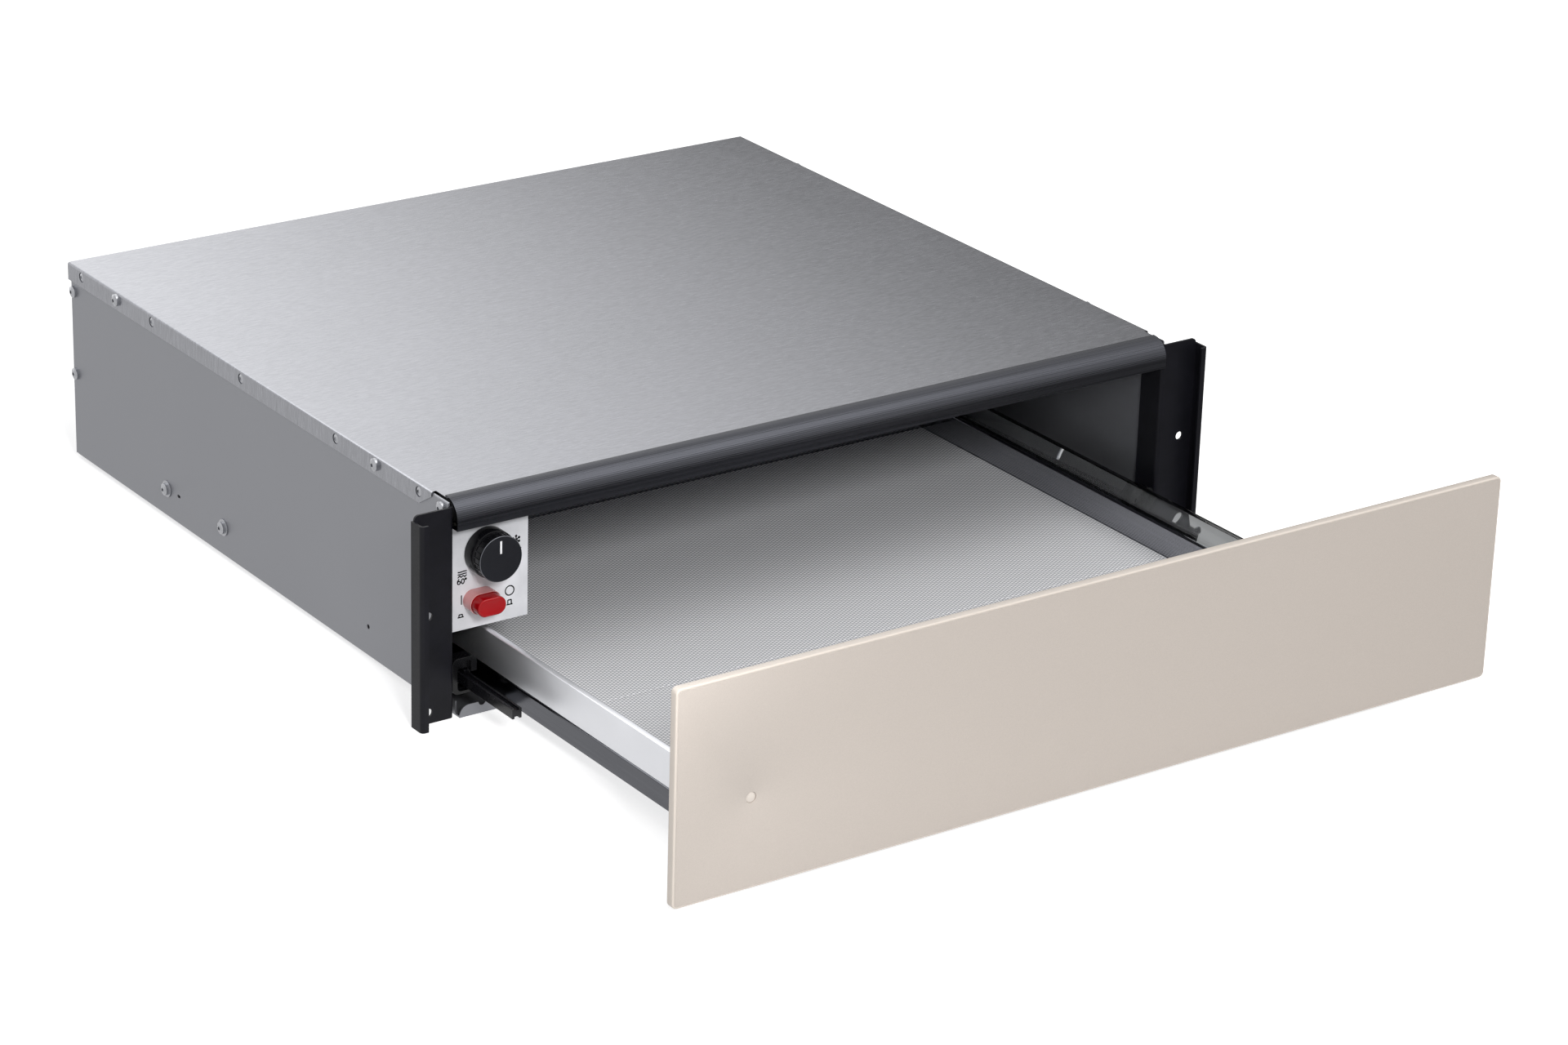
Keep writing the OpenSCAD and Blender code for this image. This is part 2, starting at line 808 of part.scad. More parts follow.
module ceiling_plate() {
    color([0.35, 0.35, 0.38])
    difference() {
        union() {
            span([-side_in, ceiling_front, ceiling_z], [side_in, ceiling_rear, ceiling_top]);
            span([-leg_in, ceiling_front, ceiling_z],
                [leg_in, ceiling_front + ceiling_t, ceiling_front_top]);
            for (s = [0, 1]) mirror([s, 0, 0])
                span([side_in - ceiling_t, ceiling_front, ceiling_z],
                    [side_in, ceiling_rear, ceiling_fold_top]);
        }
        for (s = [0, 1]) mirror([s, 0, 0]) {
            for (dy = side_screw_steps) screw_hole(cover_mid_y + dy, cover_row_z);
            for (dy = [-cover_screw_span, cover_screw_span]) screw_hole(cover_mid_y + dy, cover_row_z);
        }
        translate([0, fan_y, ceiling_z - over]) {
            cylinder(d = inlet_hole_d, h = ceiling_t + 2 * over);
            for (ring = [1 : inlet_rings], i = [0 : 6 * ring - 1]) rotate([0, 0, i * 60 / ring])
                translate([ring * inlet_step, 0, 0])
                cylinder(d = inlet_hole_d, h = ceiling_t + 2 * over, $fn = 24);
        }
        along_z(ceiling_z - over, ceiling_top + over) translate([0, fan_y])
            for (turn = [0 : 3], i = [0 : outlet_count - 1]) rotate([0, 0, 90 * turn])
            translate([(i - (outlet_count - 1) / 2) * outlet_pitch, outlet_off])
            oval(outlet_l, outlet_w);
        translate([-knob_x, loom_turn_y, ceiling_z - over])
            cylinder(d = loom_hole_d, h = ceiling_t + 2 * over);
    }
}

module hot_air_duct() {
    half = duct_w / 2;
    color([0.66, 0.67, 0.68])
    difference() {
        span([-half, fan_y - half, ceiling_top], [half, fan_y + half, duct_top]);
        span([-half + duct_t, fan_y - half + duct_t, ceiling_top - over],
            [half - duct_t, fan_y + half - duct_t, duct_top - duct_t]);
        translate([0, fan_y, duct_top - over - duct_t])
            cylinder(r = shaft_hole_r, h = duct_t + 2 * over);
        for (a = element_pin_turns) translate([0, fan_y, 0]) rotate([0, 0, a])
            translate([element_ring_d / 2, 0, duct_top - duct_t - over])
            cylinder(r = pin_hole_r, h = duct_t + 2 * over);
        rod_x(fan_y - bulb_off, tube_z, tube_r + tube_hole_gap, -half - over, -half + duct_t + over);
    }
}

module heating_element() {
    color([0.30, 0.28, 0.27])
    translate([0, fan_y, element_z]) {
        rotate_extrude(angle = 360 - element_open, $fn = 96)
            translate([element_ring_d / 2, 0]) circle(d = element_d, $fn = 32);
        for (a = element_pin_turns) rotate([0, 0, a]) translate([element_ring_d / 2, 0, 0])
            cylinder(r = element_pin_r, h = element_pin_top - element_z, $fn = 32);
    }
}

module element_clips() {
    color([0.72, 0.72, 0.70])
    difference() {
        translate([0, fan_y, ceiling_top]) for (a = clip_angles) rotate([0, 0, a])
            translate([element_ring_d / 2 - clip_l / 2, -clip_w / 2, 0])
            cube([clip_l, clip_w, element_z - ceiling_top]);
        translate([0, fan_y, element_z]) rotate_extrude($fn = 96)
            translate([element_ring_d / 2, 0]) circle(d = element_d + 2 * clip_gap, $fn = 32);
    }
}

module fan_motor() {
    color([0.20, 0.20, 0.21])
    difference() {
        translate([0, fan_y, duct_top]) {
            cylinder(r = motor_r, h = motor_top - duct_top);
            for (i = [0 : 2]) rotate([0, 0, 120 * i]) {
                translate([motor_foot_ring, 0, 0])
                    cylinder(r = motor_foot_r + seat_gap, h = motor_foot_h);
                translate([0, -motor_foot_r / 2, 0])
                    cube([motor_foot_ring, motor_foot_r, motor_foot_h]);
            }
        }
        translate([0, fan_y, duct_top - over])
            cylinder(r = shaft_r + run_gap, h = shaft_top + over - duct_top + shaft_end_gap);
    }
}

module sensor_bulb() {
    bulb_y = fan_y - bulb_off;
    tube_end = -knob_x + tube_side;
    low = ceiling_z - loom_drop;
    color([0.75, 0.50, 0.32]) union() {
        rod_x(bulb_y, bulb_z, bulb_d / 2, -bulb_l / 2, bulb_l / 2);
        run([[-bulb_l / 2 + over, bulb_y, tube_z], [-tube_x, bulb_y, tube_z],
            [-tube_x, loom_turn_y, tube_z], [tube_end, loom_turn_y, tube_z],
            [tube_end, loom_turn_y, low],
            [tube_end, plate_y + plate_t + thermostat_l, low]], tube_r);
    }
}

module limit_thermostat() {
    color([0.12, 0.12, 0.13])
    translate([limit_x, fan_y - limit_off, duct_top]) {
        cylinder(d = limit_d, h = limit_h);
        translate([-limit_d, -motor_foot_r, 0]) cube([2 * limit_d, 2 * motor_foot_r, duct_t]);
    }
}

module control_plate() {
    color([0.88, 0.88, 0.90])
    difference() {
        union() {
            span([-plate_left, plate_y, plate_z], [-plate_right, plate_y + plate_t, plate_top]);
            span([-plate_left, plate_y, plate_z],
                [-plate_left + plate_t, plate_y + plate_leg, plate_top]);
        }
        rod_y(-knob_x, knob_z, knob_shaft_r + knob_shaft_clear, plate_y - over,
            plate_y + plate_t + over);
        along_y(plate_y - over, plate_y + plate_t + over) translate([-button_x, button_z])
            oval(button_w + 2 * button_gap, button_h + 2 * button_gap);
    }
}

module control_box() {
    y0 = plate_y + plate_t;
    color([0.13, 0.13, 0.14])
    difference() {
        span([-box_left, y0, plate_z], [-box_right, y0 + box_l, ceiling_z]);
        span([-box_left + box_t, y0 - over, plate_z + box_t],
            [-box_right - box_t, y0 + box_l - box_t, ceiling_z + over]);
    }
}

module thermostat_body() {
    half = thermostat_w / 2;
    y0 = plate_y + plate_t;
    color([0.86, 0.85, 0.80])
    difference() {
        span([-knob_x - half, y0, knob_z - half], [-knob_x + half, y0 + thermostat_l, knob_z + half]);
        rod_y(-knob_x, knob_z, knob_shaft_r + run_gap, y0 - over, y0 + shaft_in_body);
    }
}

module switch_body() {
    y0 = plate_y + plate_t;
    color([0.10, 0.10, 0.10])
    translate([-button_x, 0, button_z]) difference() {
        union() {
            span([-switch_w / 2, switch_y, -switch_h / 2],
                [switch_w / 2, switch_y + switch_l, switch_h / 2]);
            for (s = [-1, 1]) translate([s * (switch_w - switch_ear_t) / 2, 0, 0])
                span([-switch_ear_t / 2, y0, -switch_h / 2],
                    [switch_ear_t / 2, switch_y + over, switch_h / 2]);
        }
        span([-stem_w / 2 - free_gap, switch_y - over, -stem_w / 2 - free_gap],
            [stem_w / 2 + free_gap, button_back + stem_l + button_travel + over,
            stem_w / 2 + free_gap]);
    }
}

module button_collar() {
    inner_w = button_w + 2 * button_gap;
    inner_h = button_h + 2 * button_gap;
    color([0.93, 0.70, 0.70, 0.6])
    along_y(plate_y - collar_l, plate_y) translate([-button_x, button_z]) difference() {
        oval(inner_w + 2 * collar_t, inner_h + 2 * collar_t);
        oval(inner_w, inner_h);
    }
}

module terminal_block() {
    color([0.90, 0.90, 0.86])
    difference() {
        span([-inlet_x - block_w / 2, block_y, ceiling_top],
            [-inlet_x + block_w / 2, block_y + block_d, ceiling_top + block_h]);
        for (i = [-1 : 1], j = [0.25, 0.75])
            translate([-inlet_x + i * block_pitch, block_y + j * block_d,
            ceiling_top + block_h - block_hole_sink])
            cylinder(d = block_hole_d, h = block_hole_sink + over);
    }
}

module cable_gland() {
    color([0.08, 0.08, 0.08])
    difference() {
        union() {
            rod_y(-inlet_x, inlet_z, gland_r, rear_in - gland_in, rear_in + gland_flange_t);
            rod_y(-inlet_x, inlet_z, gland_flange_r, rear_in + cover_t, rear_in + gland_flange_t);
            rod_y(-inlet_x, inlet_z, gland_r + gland_nut, rear_in - gland_in, back_y);
        }
        rod_y(-inlet_x, inlet_z, gland_bore_r, rear_in - gland_in - over,
            rear_in + gland_flange_t + over);
    }
}

module wiring_loom() {
    low = ceiling_z - loom_drop;
    color([0.85, 0.45, 0.20]) union() {
        run([[-loom_x, block_y, loom_z], [-loom_x, loom_turn_y, loom_z],
            [-knob_x, loom_turn_y, loom_z], [-knob_x, loom_turn_y, low],
            [-knob_x, plate_y + plate_t + thermostat_l, low]], loom_r);
        run([[-loom_x, fan_y, loom_z], [-loom_x, fan_y, branch_z], [-motor_r, fan_y, branch_z]],
            branch_r);
    }
}

module latch_body() {
    color([0.15, 0.15, 0.16])
    difference() {
        span([-latch_w / 2, latch_y, sheet_t], [latch_w / 2, latch_y + latch_l, sheet_t + latch_h]);
        rod_y(0, plunger_z, plunger_r + latch_gap, latch_y - over,
            latch_y + plunger_in + plunger_travel + over);
    }
}

module latch_striker() {
    color([0.70, 0.70, 0.72]) union() {
        span([-striker_w / 2, striker_y - striker_t, striker_low], [striker_w / 2, striker_y, pan_lift]);
        span([-striker_w / 2, striker_y - striker_foot, pan_lift - striker_t],
            [striker_w / 2, striker_y - striker_t / 2, pan_lift]);
    }
}

module latch_plunger() {
    color([0.80, 0.80, 0.82])
    rod_y(0, plunger_z, plunger_r, plunger_tip, latch_y + plunger_in);
}

module cover_screws() {
    color([0.80, 0.81, 0.83]) for (s = [0, 1]) mirror([s, 0, 0])
        for (dy = [-cover_screw_span, cover_screw_span])
        screw_x(side_out + cover_t, cover_mid_y + dy, cover_row_z, head_d, head_h, shank_len);
}

module side_screws() {
    color([0.80, 0.81, 0.83]) for (s = [0, 1]) mirror([s, 0, 0]) for (dy = side_screw_steps)
        screw_x(side_out, cover_mid_y + dy, cover_row_z, small_head_d, small_head_h, shank_len);
}

module back_screws() {
    color([0.80, 0.81, 0.83]) for (s = [0, 1]) mirror([s, 0, 0]) for (z = back_screw_zs)
        screw_x(side_out, back_screw_y, z, head_d, head_h, shank_len);
}

module flange_screws() {
    color([0.80, 0.81, 0.83]) for (s = [0, 1]) mirror([s, 0, 0])
        screw_x(side_out, flange_screw_y, flange_screw_z, head_d, head_h, sheet_t + flange_t);
}

module slide_screws() {
    color([0.80, 0.81, 0.83]) for (s = [0, 1]) mirror([s, 0, 0]) for (y = slide_screw_ys)
        screw_x(side_out + washer_t, y, slide_z, head_d, head_h,
            washer_t + side_out - channel_back + channel_t);
}

module slide_washers() {
    color([0.60, 0.61, 0.63]) for (s = [0, 1]) mirror([s, 0, 0]) difference() {
        for (y = slide_screw_ys) rod_x(y, slide_z, washer_d / 2, side_out, side_out + washer_t);
        for (y = slide_screw_ys) screw_hole(y, slide_z);
    }
}

module slide_spacers() {
    color([0.60, 0.61, 0.63]) for (s = [0, 1]) mirror([s, 0, 0]) difference() {
        for (y = slide_screw_ys) rod_x(y, slide_z, washer_d / 2, channel_back, side_in);
        for (y = slide_screw_ys) screw_hole(y, slide_z);
    }
}

// Outline of a channel in X and Z, web at the origin and open to +X
module channel_outline() {
    half = channel_h / 2;
    translate([0, -half]) square([channel_t, channel_h]);
    for (s = [0, 1]) mirror([0, s]) {
        translate([0, half - channel_t]) square([channel_w, channel_t]);
        translate([channel_w - channel_t, half - lip_reach]) square([channel_t, lip_reach]);
    }
}

module slide_outer() {
    difference() {
        along_y(guide_l + seat_gap, outer_len) translate([channel_back, bar_z]) mirror([1, 0])
            channel_outline();
        for (y = slide_screw_ys) screw_hole(y, slide_z);
    }
}

module right_slide_outer() {
    color([0.16, 0.16, 0.17]) slide_outer();
}

module left_slide_outer() {
    color([0.16, 0.16, 0.17]) left() slide_outer();
}

// Outline of the bar in X and Z, with its grooves
module bar_outline(grow) {
    translate([bar_in - grow, bar_z - bar_h / 2 - grow])
        square([bar_head + 2 * grow, bar_h + 2 * grow]);
    translate([bar_out - bar_head - grow, bar_z - bar_h / 2 - grow])
        square([bar_head + 2 * grow, bar_h + 2 * grow]);
    translate([bar_in, bar_z - bar_h / 2 + bar_groove - grow])
        square([bar_w, bar_h - 2 * bar_groove + 2 * grow]);
}

module slide_guide() {
    low = bar_z - channel_h / 2 - free_gap;
    inner_reach = inner_web + channel_w + free_gap;
    difference() {
        along_y(0, guide_l) translate([leg_in - guide_w / 2, slide_z + guide_rise])
            round_rect(guide_w, guide_h, guide_r);
        along_y(-over, guide_pocket) translate([guide_mid, slide_z + guide_rise])
            round_rect(guide_pocket_w, guide_h - 2 * guide_wall, guide_pocket_r);
        along_y(-over, guide_l + over) translate([guide_mid, slide_z - guide_open_drop])
            round_rect(guide_pocket_w - 2 * guide_step, guide_open_h, guide_open_r);
        along_y(-over, guide_l + over) bar_outline(slide_gap);
        along_y(-over, guide_l + over) translate([leg_in - guide_w - over, low])
            square([inner_reach - leg_in + guide_w + over, channel_h + 2 * free_gap]);
    }
}

module right_slide_guide() {
    color([0.08, 0.08, 0.09]) slide_guide();
}

module left_slide_guide() {
    color([0.08, 0.08, 0.09]) left() slide_guide();
}

module slide_middle() {
    along_y(bar_tip, bar_tip + bar_len) bar_outline(0);
}

module right_slide_middle() {
    color([0.13, 0.13, 0.14]) slide_middle();
}

module left_slide_middle() {
    color([0.13, 0.13, 0.14]) left() slide_middle();
}

module slide_inner() {
    along_y(inner_start, inner_start + inner_len) translate([inner_web, bar_z]) channel_outline();
    for (y = boss_ins)
        rod_x(inner_start + y, bar_z - boss_drop, boss_r, rail_out, inner_web + seat_gap);
}

module right_slide_inner() {
    color([0.16, 0.16, 0.17]) slide_inner();
}

module left_slide_inner() {
    color([0.16, 0.16, 0.17]) left() slide_inner();
}

module front_panel() {
    color([0.84, 0.80, 0.75])
    difference() {
        along_y(panel_front, panel_back) translate([0, panel_lift + panel_h / 2])
            round_rect(panel_w, panel_h, panel_corner_r);
        rod_y(-lens_x, lens_z, lens_r + lens_gap, panel_front - over, panel_back + over);
    }
}

// Outline of the carrier in X and Z, drawn in by a wall
module carrier_outline(wall) {
    for (half = [[carrier_low_x, carrier_low_h], [carrier_high_x, carrier_high_h]])
        translate([-half[0] + wall, pan_lift + wall])
        square([2 * (half[0] - wall), half[1] - 2 * wall]);
}

module front_carrier() {
    color([0.58, 0.59, 0.60])
    difference() {
        along_y(panel_back, pan_front) carrier_outline(0);
        along_y(panel_back - over, pan_front - carrier_t) carrier_outline(carrier_t);
        for (x = carrier_screw_xs) rod_y(x, carrier_screw_z, shank_d / 2 + screw_fit,
            pan_front - carrier_t - over, pan_front + over);
    }
}

module drawer_pan() {
    z_top = pan_lift + wall_h - hem_r;
    end_top = pan_lift + end_wall_h - hem_r;
    color([0.70, 0.71, 0.73])
    difference() {
        union() {
            span([-rail_in, pan_front, pan_lift], [rail_in, pan_rear, pan_lift + pan_t]);
            for (s = [0, 1]) mirror([s, 0, 0]) {
                span([wall_in, pan_front, pan_lift], [wall_out, pan_rear, z_top]);
                rod_y(wall_in + hem_r, z_top, hem_r, pan_front, pan_rear);
            }
            span([-wall_out, pan_front, pan_lift], [wall_out, pan_front + pan_t, end_top]);
            span([-wall_out, pan_rear - pan_t, pan_lift], [wall_out, pan_rear, end_top]);
            rod_x(pan_front + hem_r, end_top, hem_r, -wall_out, wall_out);
            rod_x(pan_rear - hem_r, end_top, hem_r, -wall_out, wall_out);
        }
        for (x = carrier_screw_xs)
            rod_y(x, carrier_screw_z, shank_d / 2 + screw_fit, pan_front - over,
            pan_front + pan_t + over);
    }
}

// Outline of a side rail in X and Z: outer web with the ledge for the pane
module rail_outline() {
    translate([rail_out, ledge_top]) rotate([0, 0, 180])
        fold(rail_out - wall_out - seat_gap, rail_h, pan_t, rail_bend_r);
}

module side_rail() {
    along_y(pan_front, pan_rear) rail_outline();
}

module right_side_rail() {
    color([0.55, 0.56, 0.58]) side_rail();
}

module left_side_rail() {
    color([0.55, 0.56, 0.58]) left() side_rail();
}

module pane() {
    span([pane_in, pan_front + pane_gap, ledge_top], [pane_out, pan_rear - pane_gap, ledge_top + pane_h]);
}

module right_pane() {
    color([0.85, 0.88, 0.90, 0.35]) pane();
}

module left_pane() {
    color([0.75, 0.78, 0.80, 0.5]) left() pane();
}

module anti_slip_mat() {
    color([0.62, 0.62, 0.63])
    span([-wall_in + mat_gap, pan_front + pan_t + mat_gap, pan_lift + pan_t],
        [wall_in - mat_gap, pan_rear - pan_t - mat_gap, pan_lift + pan_t + mat_t]);
}

module indicator_lens() {
    color([0.95, 0.93, 0.90, 0.8]) {
        rod_y(-lens_x, lens_z, lens_r, panel_front, panel_back + lens_back);
        rod_y(-lens_x, lens_z, lens_r + lens_flange, panel_back, panel_back + lens_flange_t);
    }
}

module carrier_screws() {
    color([0.80, 0.81, 0.83]) for (x = carrier_screw_xs)
        translate([x, pan_front + pan_t, carrier_screw_z]) rotate([-90, 0, 0])
        screw(carrier_head_d, carrier_head_h, carrier_shank_len);
}

module panel_bumpers() {
    color([0.15, 0.15, 0.15]) for (s = [-1, 1], z = bumper_zs)
        rod_y(s * bumper_x, z, bumper_r, panel_back, panel_back + bumper_t);
}

module thermostat_knob() {
    waist_y = plate_y - knob_clear - knob_collar_l;
    color([0.05, 0.05, 0.06])
    difference() {
        union() {
            rod_y(-knob_x, knob_z, knob_d / 2, waist_y, plate_y - knob_clear);
            rod_y(-knob_x, knob_z, knob_d / 2 - knob_waist, knob_front, waist_y + over);
        }
        rod_y(-knob_x, knob_z, knob_shaft_r, knob_front + knob_face_t, plate_y);
        for (i = [0 : grips - 1]) translate([-knob_x, 0, knob_z]) rotate([0, i * 360 / grips, 0])
            span([-grip_w / 2, knob_front + grip_in, knob_d / 2 - knob_waist - grip_sink],
                [grip_w / 2, knob_front + grip_in + grip_l, knob_d / 2]);
        pointer_inlay(over);
    }
}

// The pointer, grown forwards by a length for its pocket
module pointer_inlay(ahead) {
    translate([-knob_x - pointer_w / 2, knob_front - ahead, knob_z + pointer_in])
        cube([pointer_w, pointer_t + ahead, pointer_l]);
}

module knob_pointer() {
    color([0.95, 0.95, 0.95]) pointer_inlay(0);
}

module thermostat_shaft() {
    color([0.70, 0.70, 0.72])
    rod_y(-knob_x, knob_z, knob_shaft_r, knob_front + knob_face_t,
        plate_y + plate_t + shaft_in_body - shaft_end_gap);
}

module power_button() {
    color([0.72, 0.10, 0.12]) {
        along_y(button_front, button_back) translate([-button_x, button_z]) oval(button_w, button_h);
        translate([-button_x, 0, button_z]) span([-stem_w / 2, button_back - over, -stem_w / 2],
            [stem_w / 2, button_back + stem_l, stem_w / 2]);
    }
}

module fan_wheel() {
    color([0.70, 0.70, 0.72])
    translate([0, fan_y, 0]) difference() {
        union() {
            along_z(wheel_plate_z, wheel_plate_z + wheel_plate_t) circle(d = fan_d, $fn = 96);
            along_z(wheel_low - wheel_hub_drop, wheel_plate_z + wheel_plate_t) circle(wheel_hub_r);
            for (i = [0 : blades - 1]) rotate([0, 0, i * 360 / blades])
                span([blade_in, -blade_t / 2, wheel_low],
                [fan_d / 2 - blade_t, blade_t / 2, wheel_plate_z + seat_gap]);
        }
        along_z(wheel_low - wheel_hub_drop - over, wheel_plate_z + wheel_plate_t + over)
            circle(shaft_r);
    }
}

module fan_shaft() {
    color([0.60, 0.60, 0.62])
    translate([0, fan_y, wheel_low - wheel_hub_drop])
        cylinder(r = shaft_r, h = shaft_top - wheel_low + wheel_hub_drop);
}

base_pan();
left_side_panel();
right_side_panel();
back_panel();
top_cover();
front_trim();
left_flange();
right_flange();
ceiling_plate();
hot_air_duct();
heating_element();
element_clips();
fan_motor();
sensor_bulb();
limit_thermostat();
control_plate();
control_box();
thermostat_body();
switch_body();
button_collar();
terminal_block();
cable_gland();
wiring_loom();
latch_body();
cover_screws();
side_screws();
back_screws();
flange_screws();
slide_screws();
slide_washers();
slide_spacers();
left_slide_outer();
right_slide_outer();
left_slide_guide();
right_slide_guide();
front_panel();
front_carrier();
drawer_pan();
left_side_rail();
right_side_rail();
left_pane();
right_pane();
anti_slip_mat();
left_slide_inner();
right_slide_inner();
indicator_lens();
carrier_screws();
panel_bumpers();
latch_striker();
left_slide_middle();
right_slide_middle();
thermostat_knob();
knob_pointer();
thermostat_shaft();
power_button();
fan_wheel();
fan_shaft();
latch_plunger();
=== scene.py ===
"""Looks of a built-in warming drawer that stands pulled open.

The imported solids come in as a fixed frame. Each sub-assembly below dresses its own solids with
a finish, and stands modelled surfaces in the place of those that a closer look needs.
Lengths are in metres. +X is to the user's right, +Y to the rear and +Z up.
"""

from __future__ import annotations

import logging
import math
from dataclasses import dataclass
from enum import Enum
from types import MappingProxyType
from typing import Mapping, Sequence

import bpy
import numpy as np
from bpy.types import Material, Node, NodeSocket, NodeTree, Object
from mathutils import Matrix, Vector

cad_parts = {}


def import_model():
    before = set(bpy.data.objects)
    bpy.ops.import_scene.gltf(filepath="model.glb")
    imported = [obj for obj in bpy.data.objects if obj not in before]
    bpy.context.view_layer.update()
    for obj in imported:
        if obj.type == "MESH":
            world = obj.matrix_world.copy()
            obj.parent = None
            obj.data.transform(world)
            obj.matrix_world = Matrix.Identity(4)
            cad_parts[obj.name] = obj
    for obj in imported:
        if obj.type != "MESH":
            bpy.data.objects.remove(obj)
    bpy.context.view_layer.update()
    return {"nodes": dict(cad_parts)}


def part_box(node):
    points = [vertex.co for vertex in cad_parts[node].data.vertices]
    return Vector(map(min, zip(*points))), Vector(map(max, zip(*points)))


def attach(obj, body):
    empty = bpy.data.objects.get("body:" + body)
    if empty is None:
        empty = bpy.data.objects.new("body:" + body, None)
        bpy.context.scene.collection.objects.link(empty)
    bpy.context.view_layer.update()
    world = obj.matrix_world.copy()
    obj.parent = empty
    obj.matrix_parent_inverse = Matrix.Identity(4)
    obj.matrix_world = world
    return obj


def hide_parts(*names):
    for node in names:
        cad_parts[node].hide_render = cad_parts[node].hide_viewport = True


log = logging.getLogger("warming_drawer")

MM = 0.001
SMOOTH_BELOW = math.radians(32)
WELD_BELOW = 0.001 * MM
FLAT_BELOW = math.radians(0.4)
BEVEL_ABOVE = math.radians(35)
BEVEL_STEPS = 2
WHITE = (1.0, 1.0, 1.0, 1.0)
Pair = tuple[float, float]
Triple = tuple[float, float, float]


class Body(Enum):
    """The moving groups of the frame that new pieces ride on."""

    CABINET = "cabinet"
    DRAWER = "drawer"
    KNOB = "knob"
    BUTTON = "button"


class Axis(Enum):
    """An axis of the frame, by its place in a point."""

    X = 0
    Y = 1
    Z = 2


@dataclass(frozen=True)
class Tint:
    """A colour as a screen shows it, each channel from 0 to 255."""

    red: float
    green: float
    blue: float

    def linear(self) -> tuple[float, float, float, float]:
        """The colour in linear light by the screen's standard curve, with full opacity."""
        share = np.array([self.red, self.green, self.blue]) / 255.0
        dark = share / 12.92
        light = ((share + 0.055) / 1.055) ** 2.4
        red, green, blue = np.where(share <= 0.04045, dark, light).tolist()
        return red, green, blue, 1.0

    def shaded(self, share: float) -> Tint:
        """The same colour with each channel multiplied by a share."""
        return Tint(*(min(255.0, channel * share) for channel in (self.red, self.green, self.blue)))


class NodeBench:
    """A node tree while it is put together."""

    def __init__(self, tree: NodeTree) -> None:
        """Takes the tree of a world or a material, and clears it."""
        self.tree = tree
        self.tree.nodes.clear()

    def join(self, value: object, target: NodeSocket) -> None:
        """Links a socket to another, or sets it to a tint or a plain value."""
        if isinstance(value, NodeSocket):
            self.tree.links.new(value, target)
        else:
            target.default_value = value.linear() if isinstance(value, Tint) else value

    def add(self, kind: str, inputs: Mapping[str | int, object] = MappingProxyType({}),
            **settings: object) -> Node:
        """Adds a node.

        Args:
            kind: the node's type.
            inputs: what its sockets take, by name or place: a socket, a tint or a plain value.
            settings: properties of the node to set.
        Returns:
            The new node.
        """
        node = self.tree.nodes.new(kind)
        for key, value in settings.items():
            setattr(node, key, value)
        for key, value in inputs.items():
            self.join(value, node.inputs[key])
        return node

    def math(self, operation: str, *values: NodeSocket | float) -> NodeSocket:
        """A math node; each value is a socket or a number."""
        node = self.add("ShaderNodeMath", dict(enumerate(values)), operation=operation)
        return node.outputs["Value"]

    def spread(self, source: NodeSocket, low: float, high: float,
               start: float = 0.3, end: float = 0.7) -> NodeSocket:
        """Maps a socket's values from start and end to low and high, and holds them there."""
        node = self.add("ShaderNodeMapRange", {
            "Value": source, "From Min": start, "From Max": end, "To Min": low, "To Max": high})
        return node.outputs["Result"]


